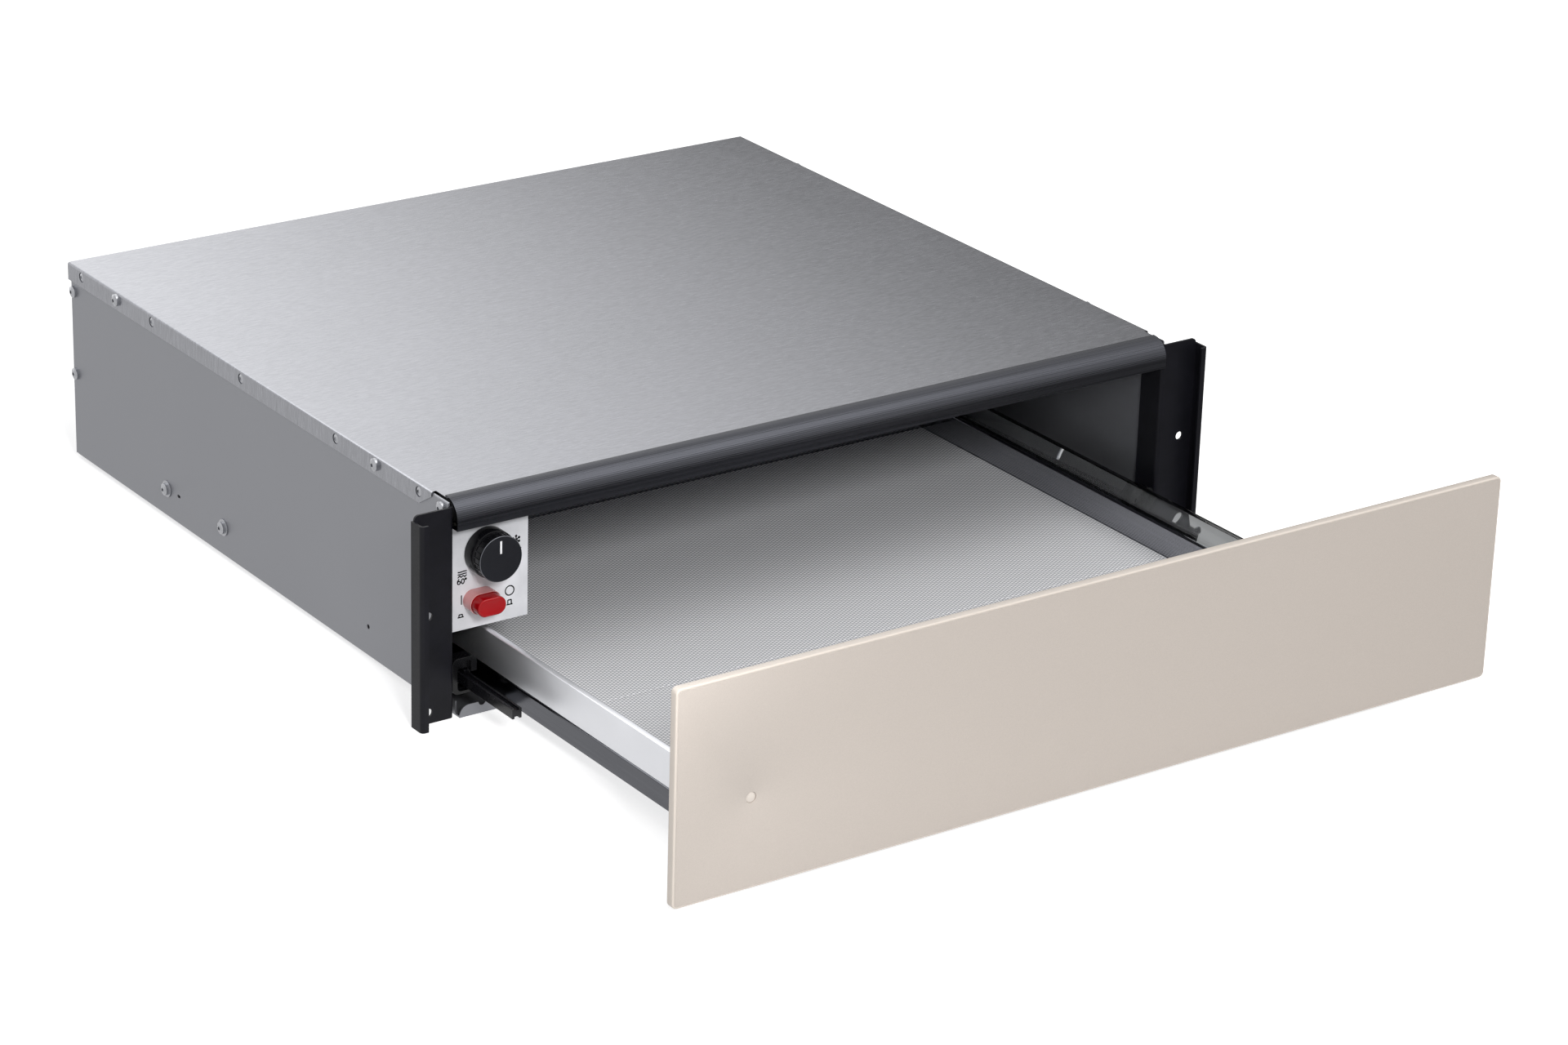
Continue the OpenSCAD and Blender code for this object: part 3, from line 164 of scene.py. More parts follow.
class MaterialBench(NodeBench):
    """A material's node tree, which starts with a principled shader and its output."""

    def __init__(self, name: str) -> None:
        """Starts the material.

        Args:
            name: the material's name.
        """
        self.material = bpy.data.materials.new(name)
        self.material.use_nodes = True
        super().__init__(self.material.node_tree)
        self.output = self.add("ShaderNodeOutputMaterial")
        self.shader = self.add("ShaderNodeBsdfPrincipled")
        self.places = self.add("ShaderNodeTexCoord").outputs["Object"]
        self.surface(self.shader.outputs["BSDF"])

    def surface(self, source: NodeSocket) -> None:
        """Takes the material's surface from a shader's socket."""
        self.join(source, self.output.inputs["Surface"])

    def set(self, **values: object) -> None:
        """Gives sockets of the shader what they take; an underscore in a key is a space."""
        for key, value in values.items():
            self.join(value, self.shader.inputs[key.replace("_", " ")])

    def axes(self) -> tuple[NodeSocket, ...]:
        """The object coordinates' X, Y and Z, each as a socket."""
        parts = self.add("ShaderNodeSeparateXYZ", {"Vector": self.places})
        return tuple(parts.outputs[axis.name] for axis in Axis)

    def noise(self, per_metre: Triple | float, detail: float = 3.0,
              rough: float = 0.55) -> NodeSocket:
        """Fractal noise over object coordinates.

        Args:
            per_metre: cycles per metre, one number or one for each axis; a low one draws the
                noise out along its axis.
            detail: number of finer layers.
            rough: share that each finer layer adds.
        Returns:
            The socket with the noise, from 0 to 1.
        """
        scale = per_metre if isinstance(per_metre, tuple) else (per_metre,) * 3
        mapping = self.add("ShaderNodeMapping", {"Vector": self.places, "Scale": scale})
        noise = self.add("ShaderNodeTexNoise", {
            "Vector": mapping.outputs["Vector"], "Scale": 1.0, "Detail": detail,
            "Roughness": rough})
        return noise.outputs["Fac"]

    def blend(self, factor: NodeSocket, first: NodeSocket | Tint, second: Tint) -> NodeSocket:
        """A colour that goes from the first to the second as the factor goes from 0 to 1."""
        node = self.add("ShaderNodeMix", {"Factor": factor}, data_type="RGBA")
        for socket, colour in zip([s for s in node.inputs if s.type == "RGBA"], (first, second)):
            self.join(colour, socket)
        return next(s for s in node.outputs if s.type == "RGBA")

    def mottled(self, pattern: NodeSocket, tint: Tint, dark: float, light: float) -> NodeSocket:
        """A tint that a pattern shades from one share of it to another."""
        return self.blend(self.spread(pattern, 0.0, 1.0), tint.shaded(dark), tint.shaded(light))

    def bump(self, height: NodeSocket, depth: float, strength: float = 1.0) -> None:
        """Raises the surface.

        Args:
            height: the socket with the height, from 0 to 1.
            depth: the height in metres that 1 stands for.
            strength: share of the bump that is felt.
        """
        node = self.add("ShaderNodeBump",
                        {"Distance": depth, "Strength": strength, "Height": height})
        self.set(Normal=node.outputs["Normal"])

    def glow(self, strength: NodeSocket) -> NodeSocket:
        """White light of a strength."""
        return self.add("ShaderNodeEmission", {"Strength": strength}).outputs["Emission"]

    def either(self, factor: NodeSocket, first: NodeSocket, second: NodeSocket) -> NodeSocket:
        """The first shader where the factor is 0, and the second where it is 1."""
        node = self.add("ShaderNodeMixShader", {0: factor, 1: first, 2: second})
        return node.outputs["Shader"]


@dataclass(frozen=True)
class Finish:
    """A named, tinted finish that can build its material."""

    name: str
    tint: Tint

    def material(self) -> Material:
        """Builds the material."""
        bench = MaterialBench(self.name)
        self.fill(bench)
        return bench.material

    def fill(self, bench: MaterialBench) -> None:
        """Gives the material its nodes."""
        raise NotImplementedError


@dataclass(frozen=True)
class SheetSteel(Finish):
    """Bare sheet metal with a rolled or brushed grain and faint clouds."""

    rough: float
    grain: Triple | float
    contrast: float = 0.06
    grain_depth: float = 0.004 * MM
    clouds: float = 0.03
    metal: float = 1.0
    rough_swing: float = 0.04

    def fill(self, bench: MaterialBench) -> None:
        """Builds the metal: grain in colour, roughness and height, and clouds in the roughness."""
        bench.set(Metallic=self.metal, Roughness=self.rough)
        grain = bench.noise(self.grain, detail=4.0, rough=0.6)
        clouds = bench.noise(9.0, detail=2.0)
        colour = bench.mottled(grain, self.tint, 1.0 - self.contrast, 1.0 + self.contrast)
        bench.set(Base_Color=colour)
        fine = bench.spread(grain, self.rough - self.rough_swing, self.rough + self.rough_swing)
        wide = bench.spread(clouds, -self.clouds, self.clouds)
        bench.set(Roughness=bench.math("ADD", fine, wide))
        bench.bump(grain, self.grain_depth)


@dataclass(frozen=True)
class PaintedSheet(Finish):
    """Powder coat: a fine orange-peel skin with small specks."""

    rough: float = 0.42
    peel: float = 1400.0
    peel_depth: float = 0.008 * MM
    specks: float = 0.12
    gloss: float = 0.5

    def fill(self, bench: MaterialBench) -> None:
        """Builds the coat: specks in the colour, and peel in the height and roughness."""
        bench.set(Roughness=self.rough, IOR=1.5, Specular_IOR_Level=self.gloss)
        peel = bench.noise(self.peel, detail=2.0)
        wear = bench.noise(60.0, detail=4.0)
        bench.set(Base_Color=bench.mottled(wear, self.tint, 1.0 - self.specks, 1.0 + self.specks))
        bench.set(Roughness=bench.spread(peel, self.rough - 0.05, self.rough + 0.07))
        bench.bump(peel, self.peel_depth)


@dataclass(frozen=True)
class Moulding(Finish):
    """Moulded plastic: gloss or a fine spark-eroded grain, with slight flow clouds."""

    rough: float = 0.35
    grain: float = 1800.0
    grain_depth: float = 0.006 * MM
    coat: float = 0.0
    through: float = 0.0
    gloss: float = 0.5
    least_rough: float = 0.02

    def fill(self, bench: MaterialBench) -> None:
        """Builds the plastic: flow clouds in the colour and grain in the height and roughness."""
        bench.set(Roughness=self.rough, IOR=1.5, Coat_Weight=self.coat, Coat_Roughness=0.08,
                  Transmission_Weight=self.through, Specular_IOR_Level=self.gloss)
        grain = bench.noise(self.grain, detail=2.0)
        bench.set(Base_Color=bench.mottled(bench.noise(45.0), self.tint, 0.95, 1.05))
        smooth = max(self.least_rough, self.rough - 0.05)
        bench.set(Roughness=bench.spread(grain, smooth, self.rough + 0.06))
        bench.bump(grain, self.grain_depth)


@dataclass(frozen=True)
class LacqueredFront(Finish):
    """Champagne lacquer behind satin glass, with its rounded rim painted paler as a highlight."""

    name: str = "panel_champagne"
    tint: Tint = Tint(190, 181, 173)
    # Paler tint painted on the rim as a highlight along the rounded edge.
    rim: Tint = Tint(214, 204, 194)
    rim_highlight_layer: str = "rim"
    rough: float = 0.34

    def fill(self, bench: MaterialBench) -> None:
        """Builds the front: flake in the lacquer, and the painted rim highlight where its attribute
        says.
        """
        bench.set(IOR=1.5, Roughness=self.rough, Coat_Weight=0.25, Coat_Roughness=0.12)
        flake = bench.noise(2600.0, detail=2.0, rough=0.7)
        clouds = bench.noise(6.0, detail=2.0)
        face = bench.mottled(flake, self.tint, 0.975, 1.02)
        rim = bench.add("ShaderNodeAttribute", attribute_name=self.rim_highlight_layer)
        bench.set(Base_Color=bench.blend(rim.outputs["Fac"], face, self.rim))
        bench.set(Roughness=bench.spread(clouds, self.rough - 0.02, self.rough + 0.03))
        bench.bump(flake, 0.002 * MM)


@dataclass(frozen=True)
class DotMat(Finish):
    """Soft rubber mat whose raised dots are painted pale as a highlight, and whose valleys are
    painted in the finish's darker tint as shade.
    """

    name: str = "mat_grey"
    tint: Tint = Tint(170, 171, 177)
    # Painted highlight colour of the dot tops.
    top: Tint = Tint(255, 255, 255)
    step: float = 2.4 * MM
    dot_depth: float = 0.35 * MM
    rough: float = 0.5

    def height(self, x: np.ndarray, y: np.ndarray) -> np.ndarray:
        """The dots' height at places on the mat, from -dot_depth in the valleys to 0 at the peaks.

        Three waves at a sixth of a turn add up to dots in staggered rows: the cosine of one wave
        along X, plus twice the product of the cosine of half that wave and the cosine of a wave
        along Y. Their sum runs from -1.5 to 3.
        """
        turn = 2.0 * math.pi / self.step
        wave = (np.cos(x * turn * 2.0 / math.sqrt(3.0))
                + 2.0 * np.cos(x * turn / math.sqrt(3.0)) * np.cos(y * turn))
        return -self.dot_depth * (3.0 - wave) / 4.5

    def fill(self, bench: MaterialBench) -> None:
        """Builds the mat: the waves that raise its dots also paint them pale and their valleys
        dark, as painted highlight and shade.
        """
        bench.set(Roughness=self.rough, IOR=1.48)
        x, y, _ = bench.axes()
        across = 4.0 * math.pi / (math.sqrt(3.0) * self.step)
        whole = bench.math("COSINE", bench.math("MULTIPLY", x, across))
        half = bench.math("COSINE", bench.math("MULTIPLY", x, across / 2.0))
        along = bench.math("COSINE", bench.math("MULTIPLY", y, 2.0 * math.pi / self.step))
        wave = bench.math("MULTIPLY_ADD", bench.math("MULTIPLY", half, along), 2.0, whole)
        # Painted light and shade: the colour runs from the dark valleys to the pale dot tops with
        # the dots' height.
        share = bench.spread(wave, 0.0, 1.0, -1.4, 1.6)
        bench.set(Base_Color=bench.blend(share, self.tint, self.top))
        dust = bench.noise(700.0)
        bench.set(Roughness=bench.spread(dust, self.rough - 0.08, self.rough + 0.1))
        bench.bump(dust, 0.01 * MM, 0.5)


@dataclass(frozen=True)
class PaneGlass(Finish):
    """Float glass; a coated pane isn't clear and reflects like a dull mirror."""

    clear: float
    rough: float = 0.02
    metal: float = 0.0

    def fill(self, bench: MaterialBench) -> None:
        """Builds the glass: a breath of dust in its roughness and a slight roll in its height."""
        bench.set(IOR=1.5, Transmission_Weight=self.clear, Roughness=self.rough,
                  Metallic=self.metal)
        dust = bench.noise(35.0)
        bench.set(Base_Color=bench.mottled(dust, self.tint, 0.985, 1.0))
        bench.set(Roughness=bench.spread(dust, self.rough, self.rough + 0.03))
        bench.bump(bench.noise(6.0, detail=1.0), 0.004 * MM, 0.3)


@dataclass(frozen=True)
class WovenSleeve(Finish):
    """Braided sleeve round the wires: two crossed bands of thread."""

    pitch: float = 1.6 * MM

    def fill(self, bench: MaterialBench) -> None:
        """Builds the braid: the product of two slanted waves gives light threads and dark gaps."""
        bench.set(Roughness=0.75)
        x, y, z = bench.axes()
        turns = 2.0 * math.pi / self.pitch
        level = bench.math("ADD", x, y)
        waves = [bench.math("SINE", bench.math("MULTIPLY", bench.math(slant, z, level), turns))
                 for slant in ("ADD", "SUBTRACT")]
        threads = bench.math("MULTIPLY", *waves)
        shade = bench.spread(threads, 0.0, 1.0, -0.6, 0.6)
        bench.set(Base_Color=bench.blend(shade, self.tint.shaded(0.6), self.tint))
        bench.bump(threads, 0.1 * MM)


GALVANISED = SheetSteel("galvanised_steel", Tint(146, 147, 152), 0.4, 260.0, 0.012, 0.001 * MM,
                        0.02, metal=0.75)
COVER = SheetSteel("cover_steel", Tint(154, 155, 160), 0.24, (170.0, 1500.0, 120.0), 0.075,
                   grain_depth=0.0, clouds=0.015)
POLISHED = SheetSteel("polished_steel", Tint(150, 151, 156), 0.12, (500.0, 12.0, 500.0), 0.03,
                      0.001 * MM)
# A darker copy of the polished steel for the rails: painted shade standing in for the dark floor
# and flange they reflect.
SHADED_RAIL = SheetSteel("polished_steel_dark", Tint(97, 98, 103), 0.14, (500.0, 12.0, 500.0), 0.04,
                       0.001 * MM, 0.01)
ALUMINISED = SheetSteel("aluminised_steel", Tint(170, 171, 174), 0.5, 120.0, 0.08, clouds=0.08)
COPPER = SheetSteel("copper_bulb", Tint(200, 140, 105), 0.3, (400.0, 40.0, 400.0))
SHEATH = SheetSteel("element_sheath", Tint(92, 88, 86), 0.5, 300.0, 0.12)
SCREW = SheetSteel("screw_steel", Tint(176, 177, 181), 0.26, 500.0, 0.05)
SPACER = SheetSteel("spacer_steel", Tint(178, 179, 183), 0.36, 400.0)
WHEEL = SheetSteel("wheel_alu", Tint(186, 187, 190), 0.4, (200.0, 200.0, 60.0))
SHAFT = SheetSteel("shaft_steel", Tint(176, 177, 180), 0.25, (60.0, 60.0, 900.0), 0.05)
TRIM_GREY = SheetSteel("trim_grey", Tint(75, 76, 81), 0.3, (4.0, 1100.0, 1100.0), 0.1, clouds=0.01)
FLANGE_BLACK = PaintedSheet("flange_black", Tint(21, 21, 26), 0.4, gloss=0.2)
CEILING = PaintedSheet("ceiling_enamel", Tint(104, 105, 109), 0.35)
MOTOR_BLACK = PaintedSheet("motor_black", Tint(38, 38, 40), 0.5)
SLIDE_BLACK = Moulding("slide_black", Tint(16, 16, 19), 0.22, 900.0, 0.002 * MM)
BAKELITE = Moulding("bakelite", Tint(36, 28, 26), 0.3)
PLATE_WHITE = Moulding("plate_white", Tint(220, 221, 225), 0.32, 900.0)
BOX_BLACK = Moulding("box_black", Tint(34, 34, 36), 0.5)
THERMOSTAT_WHITE = Moulding("thermostat_white", Tint(222, 218, 205), 0.4)
COLLAR_PINK = Moulding("collar_pink", Tint(228, 158, 158), 0.1, 2200.0, 0.001 * MM, 0.6, 0.25)
BUTTON_RED = Moulding("button_red", Tint(156, 5, 14), 0.1, 2200.0, 0.001 * MM, 0.2, gloss=0.3)
NYLON_WHITE = Moulding("nylon_white", Tint(226, 225, 216), 0.45)
GLAND_BLACK = Moulding("gland_black", Tint(22, 22, 23), 0.45)
GUIDE_BLACK = Moulding("guide_black", Tint(10, 10, 12), 0.24, 1500.0, 0.002 * MM, gloss=0.4)
KNOB_BLACK = Moulding("knob_black", Tint(13, 13, 16), 0.22, 2400.0, 0.001 * MM, gloss=0.3)
# A paler, glossier copy of the knob's black, painted on the knob's rim and grip edges as a
# highlight.
KNOB_HIGHLIGHT = Moulding("knob_edge_black", Tint(100, 102, 108), 0.2, 2400.0, 0.001 * MM, 0.5)
KNOB_FACE = Moulding("knob_face_black", Tint(24, 25, 30), 0.55, 1500.0, gloss=0.25)
POINTER_WHITE = Moulding("pointer_white", Tint(238, 238, 240), 0.4)
MARKING_BLACK = Moulding("marking_black", Tint(12, 12, 14), 0.6, gloss=0.2)
LENS_CLEAR = Moulding("lens_clear", Tint(216, 207, 198), 0.2, 2000.0, 0.001 * MM, 0.4)
BUMPER_RUBBER = Moulding("bumper_rubber", Tint(30, 30, 31), 0.7)
CLEAR_PANE = PaneGlass("pane_glass", Tint(244, 247, 248), 1.0)
COATED_PANE = PaneGlass("pane_glass_coated", Tint(240, 241, 245), 0.0, 0.42, metal=0.9)
LOOM = WovenSleeve("loom_orange", Tint(214, 120, 60))


def middle_line(name: str) -> Triple:
    """Where the middle line of a solid along Y runs: the middle of its box, with Y zero."""
    low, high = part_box(name)
    return (low.x + high.x) / 2, 0.0, (low.z + high.z) / 2


def pose(back: np.ndarray, place: Triple, roll: float = 0.0) -> list[list[float]]:
    """The pose of an object that looks along a line.

    Args:
        back: the way from what it looks at to it, of length 1.
        place: its place.
        roll: how far it is turned about its line of sight from upright.
    Returns:
        Its matrix, one column after the other.
    """
    right = np.cross([0.0, 0.0, 1.0], back)
    right /= np.linalg.norm(right)
    up = np.cross(back, right)
    matrix = np.eye(4)
    matrix[:3, 0] = right * math.cos(roll) + up * math.sin(roll)
    matrix[:3, 1] = up * math.cos(roll) - right * math.sin(roll)
    matrix[:3, 2], matrix[:3, 3] = back, place
    return matrix.T.tolist()


def piece(name: str, points: np.ndarray, faces: Sequence[Sequence[int]],
          smooth_below: float = SMOOTH_BELOW) -> Object:
    """Puts points and faces into a new object at the origin, shaded smooth.

    Args:
        name: the piece's name.
        points: its points, one row each.
        faces: the point numbers of each face, all turned the same way.
        smooth_below: the angle between two faces above which their edge is sharp.
    Returns:
        The new object, with its faces pointing outwards.
    """
    mesh = bpy.data.meshes.new(name)
    mesh.from_pydata(points.reshape(-1, 3).tolist(), [], faces)
    mesh.validate()
    corner = np.zeros(len(mesh.vertices) * 3)
    mesh.vertices.foreach_get("co", corner)
    corner = corner.reshape(-1, 3)
    mesh.calc_loop_triangles()
    triangle = np.zeros(len(mesh.loop_triangles) * 3, dtype=np.int32)
    mesh.loop_triangles.foreach_get("vertices", triangle)
    a, b, c = (corner[triangle.reshape(-1, 3)[:, k]] for k in range(3))
    if np.einsum("ij,ij->i", a, np.cross(b, c)).sum() < 0.0:
        mesh.flip_normals()
    mesh.update()
    mesh.polygons.foreach_set("use_smooth", np.ones(len(mesh.polygons), dtype=bool))
    mesh.set_sharp_from_angle(angle=smooth_below)
    obj = bpy.data.objects.new(name, mesh)
    bpy.context.scene.collection.objects.link(obj)
    return obj


def loft_faces(rows: int, columns: int, start: int, loop_rows: bool) -> list[Sequence[int]]:
    """Faces of a skin over closed rings.

    Args:
        rows: number of rings.
        columns: points on each ring; the last one joins the first.
        start: number of the first point.
        loop_rows: whether the last ring joins the first; if not, both ends get a flat cap.
    Returns:
        The faces' point numbers.
    """
    number = start + np.arange(rows * columns).reshape(rows, columns)
    across = np.roll(number, -1, axis=1)
    last = rows if loop_rows else rows - 1
    along, along_across = (np.roll(grid, -1, axis=0)[:last] for grid in (number, across))
    quads = np.stack([number[:last], across[:last], along_across, along], axis=-1)
    faces = quads.reshape(-1, 4).tolist()
    return faces if loop_rows else faces + [number[0, ::-1].tolist(), number[-1].tolist()]


def loft(name: str, *shells: np.ndarray, loop_rows: Sequence[bool] = (False,)) -> Object:
    """One piece from one or more skins over closed rings.

    Args:
        name: the piece's name.
        shells: arrays of rings, each of shape (rings, points, 3).
        loop_rows: for each skin whether its last ring joins its first, or one answer for all.
    Returns:
        The new object.
    """
    faces: list[Sequence[int]] = []
    start = 0
    loops = tuple(loop_rows) * (len(shells) // len(loop_rows))
    for rings, loop in zip(shells, loops):
        faces += loft_faces(rings.shape[0], rings.shape[1], start, loop)
        start += rings.shape[0] * rings.shape[1]
    return piece(name, np.concatenate([rings.reshape(-1, 3) for rings in shells]), faces)


def round_rectangle(half_w: float, half_h: float, radius: float, inset: np.ndarray,
                    arc: int = 8, edge: tuple[int, int] = (1, 1)) -> np.ndarray:
    """Rings of a rectangle with round corners, each drawn in by its inset.

    Each corner is a quarter circle of the radius less the inset, about one same centre, so
    that all the rings are parallel. Each straight side is cut into equal steps.

    Args:
        half_w: half of the width.
        half_h: half of the height.
        radius: radius of the corners.
        inset: how far each ring is drawn in.
        arc: steps in a corner.
        edge: steps along the wide and the tall sides.
    Returns:
        An array of shape (rings, points, 2).
    """
    least = 0.02 * MM
    turn = np.linspace(0.0, math.pi / 2, arc + 1)
    lean = np.maximum(radius - inset, least)[:, None]
    past = np.maximum(inset - radius, 0.0)[:, None]
    quarters = []
    for k, (sx, sy) in enumerate(((1, 1), (-1, 1), (-1, -1), (1, -1))):
        angle = turn + k * math.pi / 2
        x = sx * (half_w - radius) + lean * np.cos(angle) - sx * past
        y = sy * (half_h - radius) + lean * np.sin(angle) - sy * past
        quarters.append(np.stack([x, y], axis=-1))
    rings = []
    for k in range(4):
        rings.append(quarters[k])
        steps = edge[k % 2]
        if steps > 1:
            share = np.linspace(0.0, 1.0, steps + 1)[1:-1][None, :, None]
            start, end = quarters[k][:, -1:, :], quarters[(k + 1) % 4][:, :1, :]
            rings.append(start + (end - start) * share)
    return np.concatenate(rings, axis=1)


def placed(rings: np.ndarray, depth: np.ndarray, along: Axis, centre: Triple) -> np.ndarray:
    """Stands flat rings in space.

    Args:
        rings: rings in two axes, of shape (rings, points, 2).
        depth: place of each ring along the third axis.
        along: the third axis; the rings lie in the other two, in the order X, Y, Z.
        centre: where the rings' own middle goes; its part along the third axis is added to depth.
    Returns:
        An array of shape (rings, points, 3).
    """
    others = [axis.value for axis in Axis if axis is not along]
    points = np.zeros(rings.shape[:2] + (3,))
    points[..., others[0]] = rings[..., 0] + centre[others[0]]
    points[..., others[1]] = rings[..., 1] + centre[others[1]]
    points[..., along.value] = depth[:, None] + centre[along.value]
    return points


def edge_round(radius: float, steps: int = 4) -> tuple[np.ndarray, np.ndarray]:
    """A quarter round from side to face: each ring's inset and its distance short of the face."""
    turn = np.linspace(0.0, math.pi / 2, steps + 1)
    return radius * (1.0 - np.cos(turn)), radius * (1.0 - np.sin(turn))


def rounded_bar(name: str, low: Sequence[float], high: Sequence[float], along: Axis,
                radius: float) -> Object:
    """A straight bar between two corners, with all its edges rounded alike."""
    low, high = np.array(low), np.array(high)
    middle, half = (low + high) / 2, (high - low) / 2
    wide, tall = (axis.value for axis in Axis if axis is not along)
    inset, short = edge_round(radius)
    reach = half[along.value] - short
    rings = round_rectangle(half[wide], half[tall], radius, np.concatenate([inset[::-1], inset]), 4)
    return loft(name, placed(rings, np.concatenate([-reach[::-1], reach]), along, tuple(middle)))


def prism(name: str, outline: np.ndarray, along: Axis, low: float, high: float) -> Object:
    """An outline in two axes carried straight along the third."""
    rings = np.stack([outline, outline])
    return loft(name, placed(rings, np.array([low, high]), along, (0.0, 0.0, 0.0)))


def soften(obj: Object, width: float) -> None:
    """Rounds the sharp edges of a sheet with live modifiers, and leaves its own mesh alone.

    Args:
        obj: the piece.
        width: width of the rounded edge.
    """
    obj.modifiers.new("weld", "WELD").merge_threshold = WELD_BELOW
    flat = obj.modifiers.new("flat", "DECIMATE")
    flat.decimate_type = "DISSOLVE"
    flat.angle_limit = FLAT_BELOW
    bevel = obj.modifiers.new("edge", "BEVEL")
    bevel.width = width
    bevel.segments = BEVEL_STEPS
    bevel.limit_method = "ANGLE"
    bevel.angle_limit = BEVEL_ABOVE
    bevel.use_clamp_overlap = True
    bevel.loop_slide = False
    bevel.harden_normals = False
    obj.modifiers.new("normals", "WEIGHTED_NORMAL").keep_sharp = False


@dataclass
class Assembly:
    """Solids that belong together, and the pieces made in the place of some of them.

    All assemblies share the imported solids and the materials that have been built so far.
    """

    nodes: dict[str, Object]
    built: dict[str, Material]

    def build(self) -> None:
        """Makes and dresses its pieces."""
        raise NotImplementedError

    def finished(self, finish: Finish) -> Material:
        """The material of a finish, built once."""
        if finish.name not in self.built:
            self.built[finish.name] = finish.material()
        return self.built[finish.name]

    def dress(self, finish: Finish, *names: str, edge: float = 0.0) -> None:
        """Gives solids that stay their finish.

        Args:
            finish: the finish.
            names: the solids.
            edge: width of their rounded edges, or zero for none.
        """
        material = self.finished(finish)
        for name in names:
            obj = self.nodes[name]
            for slot in obj.material_slots:
                slot.material = material
            if edge:
                soften(obj, edge)
            log.info("dressed %s in %s", name, finish.name)

    def mount(self, obj: Object, body: Body, finish: Finish, slot: str, *nodes: str) -> None:
        """Gives a new piece its finish, its body and the nodes that it stands for.

        Args:
            obj: the new piece.
            body: the body that it rides on.
            finish: its finish.
            slot: not used.
            nodes: the solids that it replaces.
        """
        obj.data.materials.append(self.finished(finish))
        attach(obj, body.value)
        if nodes:
            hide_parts(*nodes)
        log.info("made %s with %d faces", obj.name, len(obj.data.polygons))


@dataclass
class Case(Assembly):
    """The sheet-metal case, its folded cover and the screws that hold it."""

    sheet_edge: float = 0.18 * MM
    bend_edge: float = 0.38 * MM
    screw_edge: float = 0.12 * MM

    def build(self) -> None:
        """Dresses every sheet and screw of the case."""
        self.dress(COVER, "top_cover", edge=self.bend_edge)
        self.dress(GALVANISED, "left_side_panel", "right_side_panel", "back_panel",
                   "base_pan", edge=self.sheet_edge)
        self.dress(SCREW, "cover_screws", "side_screws", "back_screws", "flange_screws",
                   "slide_screws")
        self.dress(SPACER, "slide_washers", "slide_spacers", edge=self.screw_edge)
        self.dress(GLAND_BLACK, "cable_gland", edge=self.screw_edge)


@dataclass
class FrontTrim(Assembly):
    """The ribbed bull-nose under the front edge of the cover, and the two mounting flanges."""

    sheet: float = 1.2 * MM
    tongue_in: float = 3.1 * MM
    lap: float = 0.8 * MM
    foot: float = 6.0 * MM
    strip: float = 1.4 * MM
    rib_pitch: float = 1.1 * MM
    rib_depth: float = 0.05 * MM
    arc_steps: int = 144
    inner_points: int = 24
    flange_edge: float = 0.2 * MM

    def outline(self) -> np.ndarray:
        """The trim's outline in Y and Z.

        The outer line is a quarter circle whose radius dips by a small cosine of the distance
        along it, then the straight drop and the foot. The inner line runs parallel to it, and
        steps down where the cover's tongue lies.
        """
        low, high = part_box("front_trim")
        radius = high.y - self.strip - low.y
        axis = np.array([low.y + radius, high.z - radius])
        turn = np.linspace(math.pi / 2, math.pi, self.arc_steps + 1)
        travel = (turn - math.pi / 2) * radius
        dip = self.rib_depth * (0.5 - 0.5 * np.cos(2 * math.pi * travel / self.rib_pitch))
        outer = axis + (radius - dip)[:, None] * np.stack([np.cos(turn), np.sin(turn)], axis=1)
        tongue_y = high.y - self.tongue_in
        inner_radius = radius - self.sheet
        first = math.acos((tongue_y - axis[0]) / inner_radius)
        back = np.linspace(math.pi, first, self.inner_points)
        inner = axis + inner_radius * np.stack([np.cos(back), np.sin(back)], axis=1)
        foot_y, foot_z, lap_z = low.y + self.foot, low.z + self.sheet, high.z - self.lap
        foot = np.array([[low.y, low.z], [foot_y, low.z], [foot_y, foot_z],
                         [low.y + self.sheet, foot_z]])
        lap = np.array([[tongue_y, lap_z], [high.y, lap_z], [high.y, high.z]])
        return np.concatenate([outer, foot, inner, lap])

    def build(self) -> None:
        """Makes the ribbed trim and dresses the flanges."""
        low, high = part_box("front_trim")
        trim = prism("ribbed_trim", self.outline(), Axis.X, low.x, high.x)
        self.mount(trim, Body.CABINET, TRIM_GREY, "trim_grey", "front_trim")
        self.dress(FLANGE_BLACK, "left_flange", "right_flange", edge=self.flange_edge)


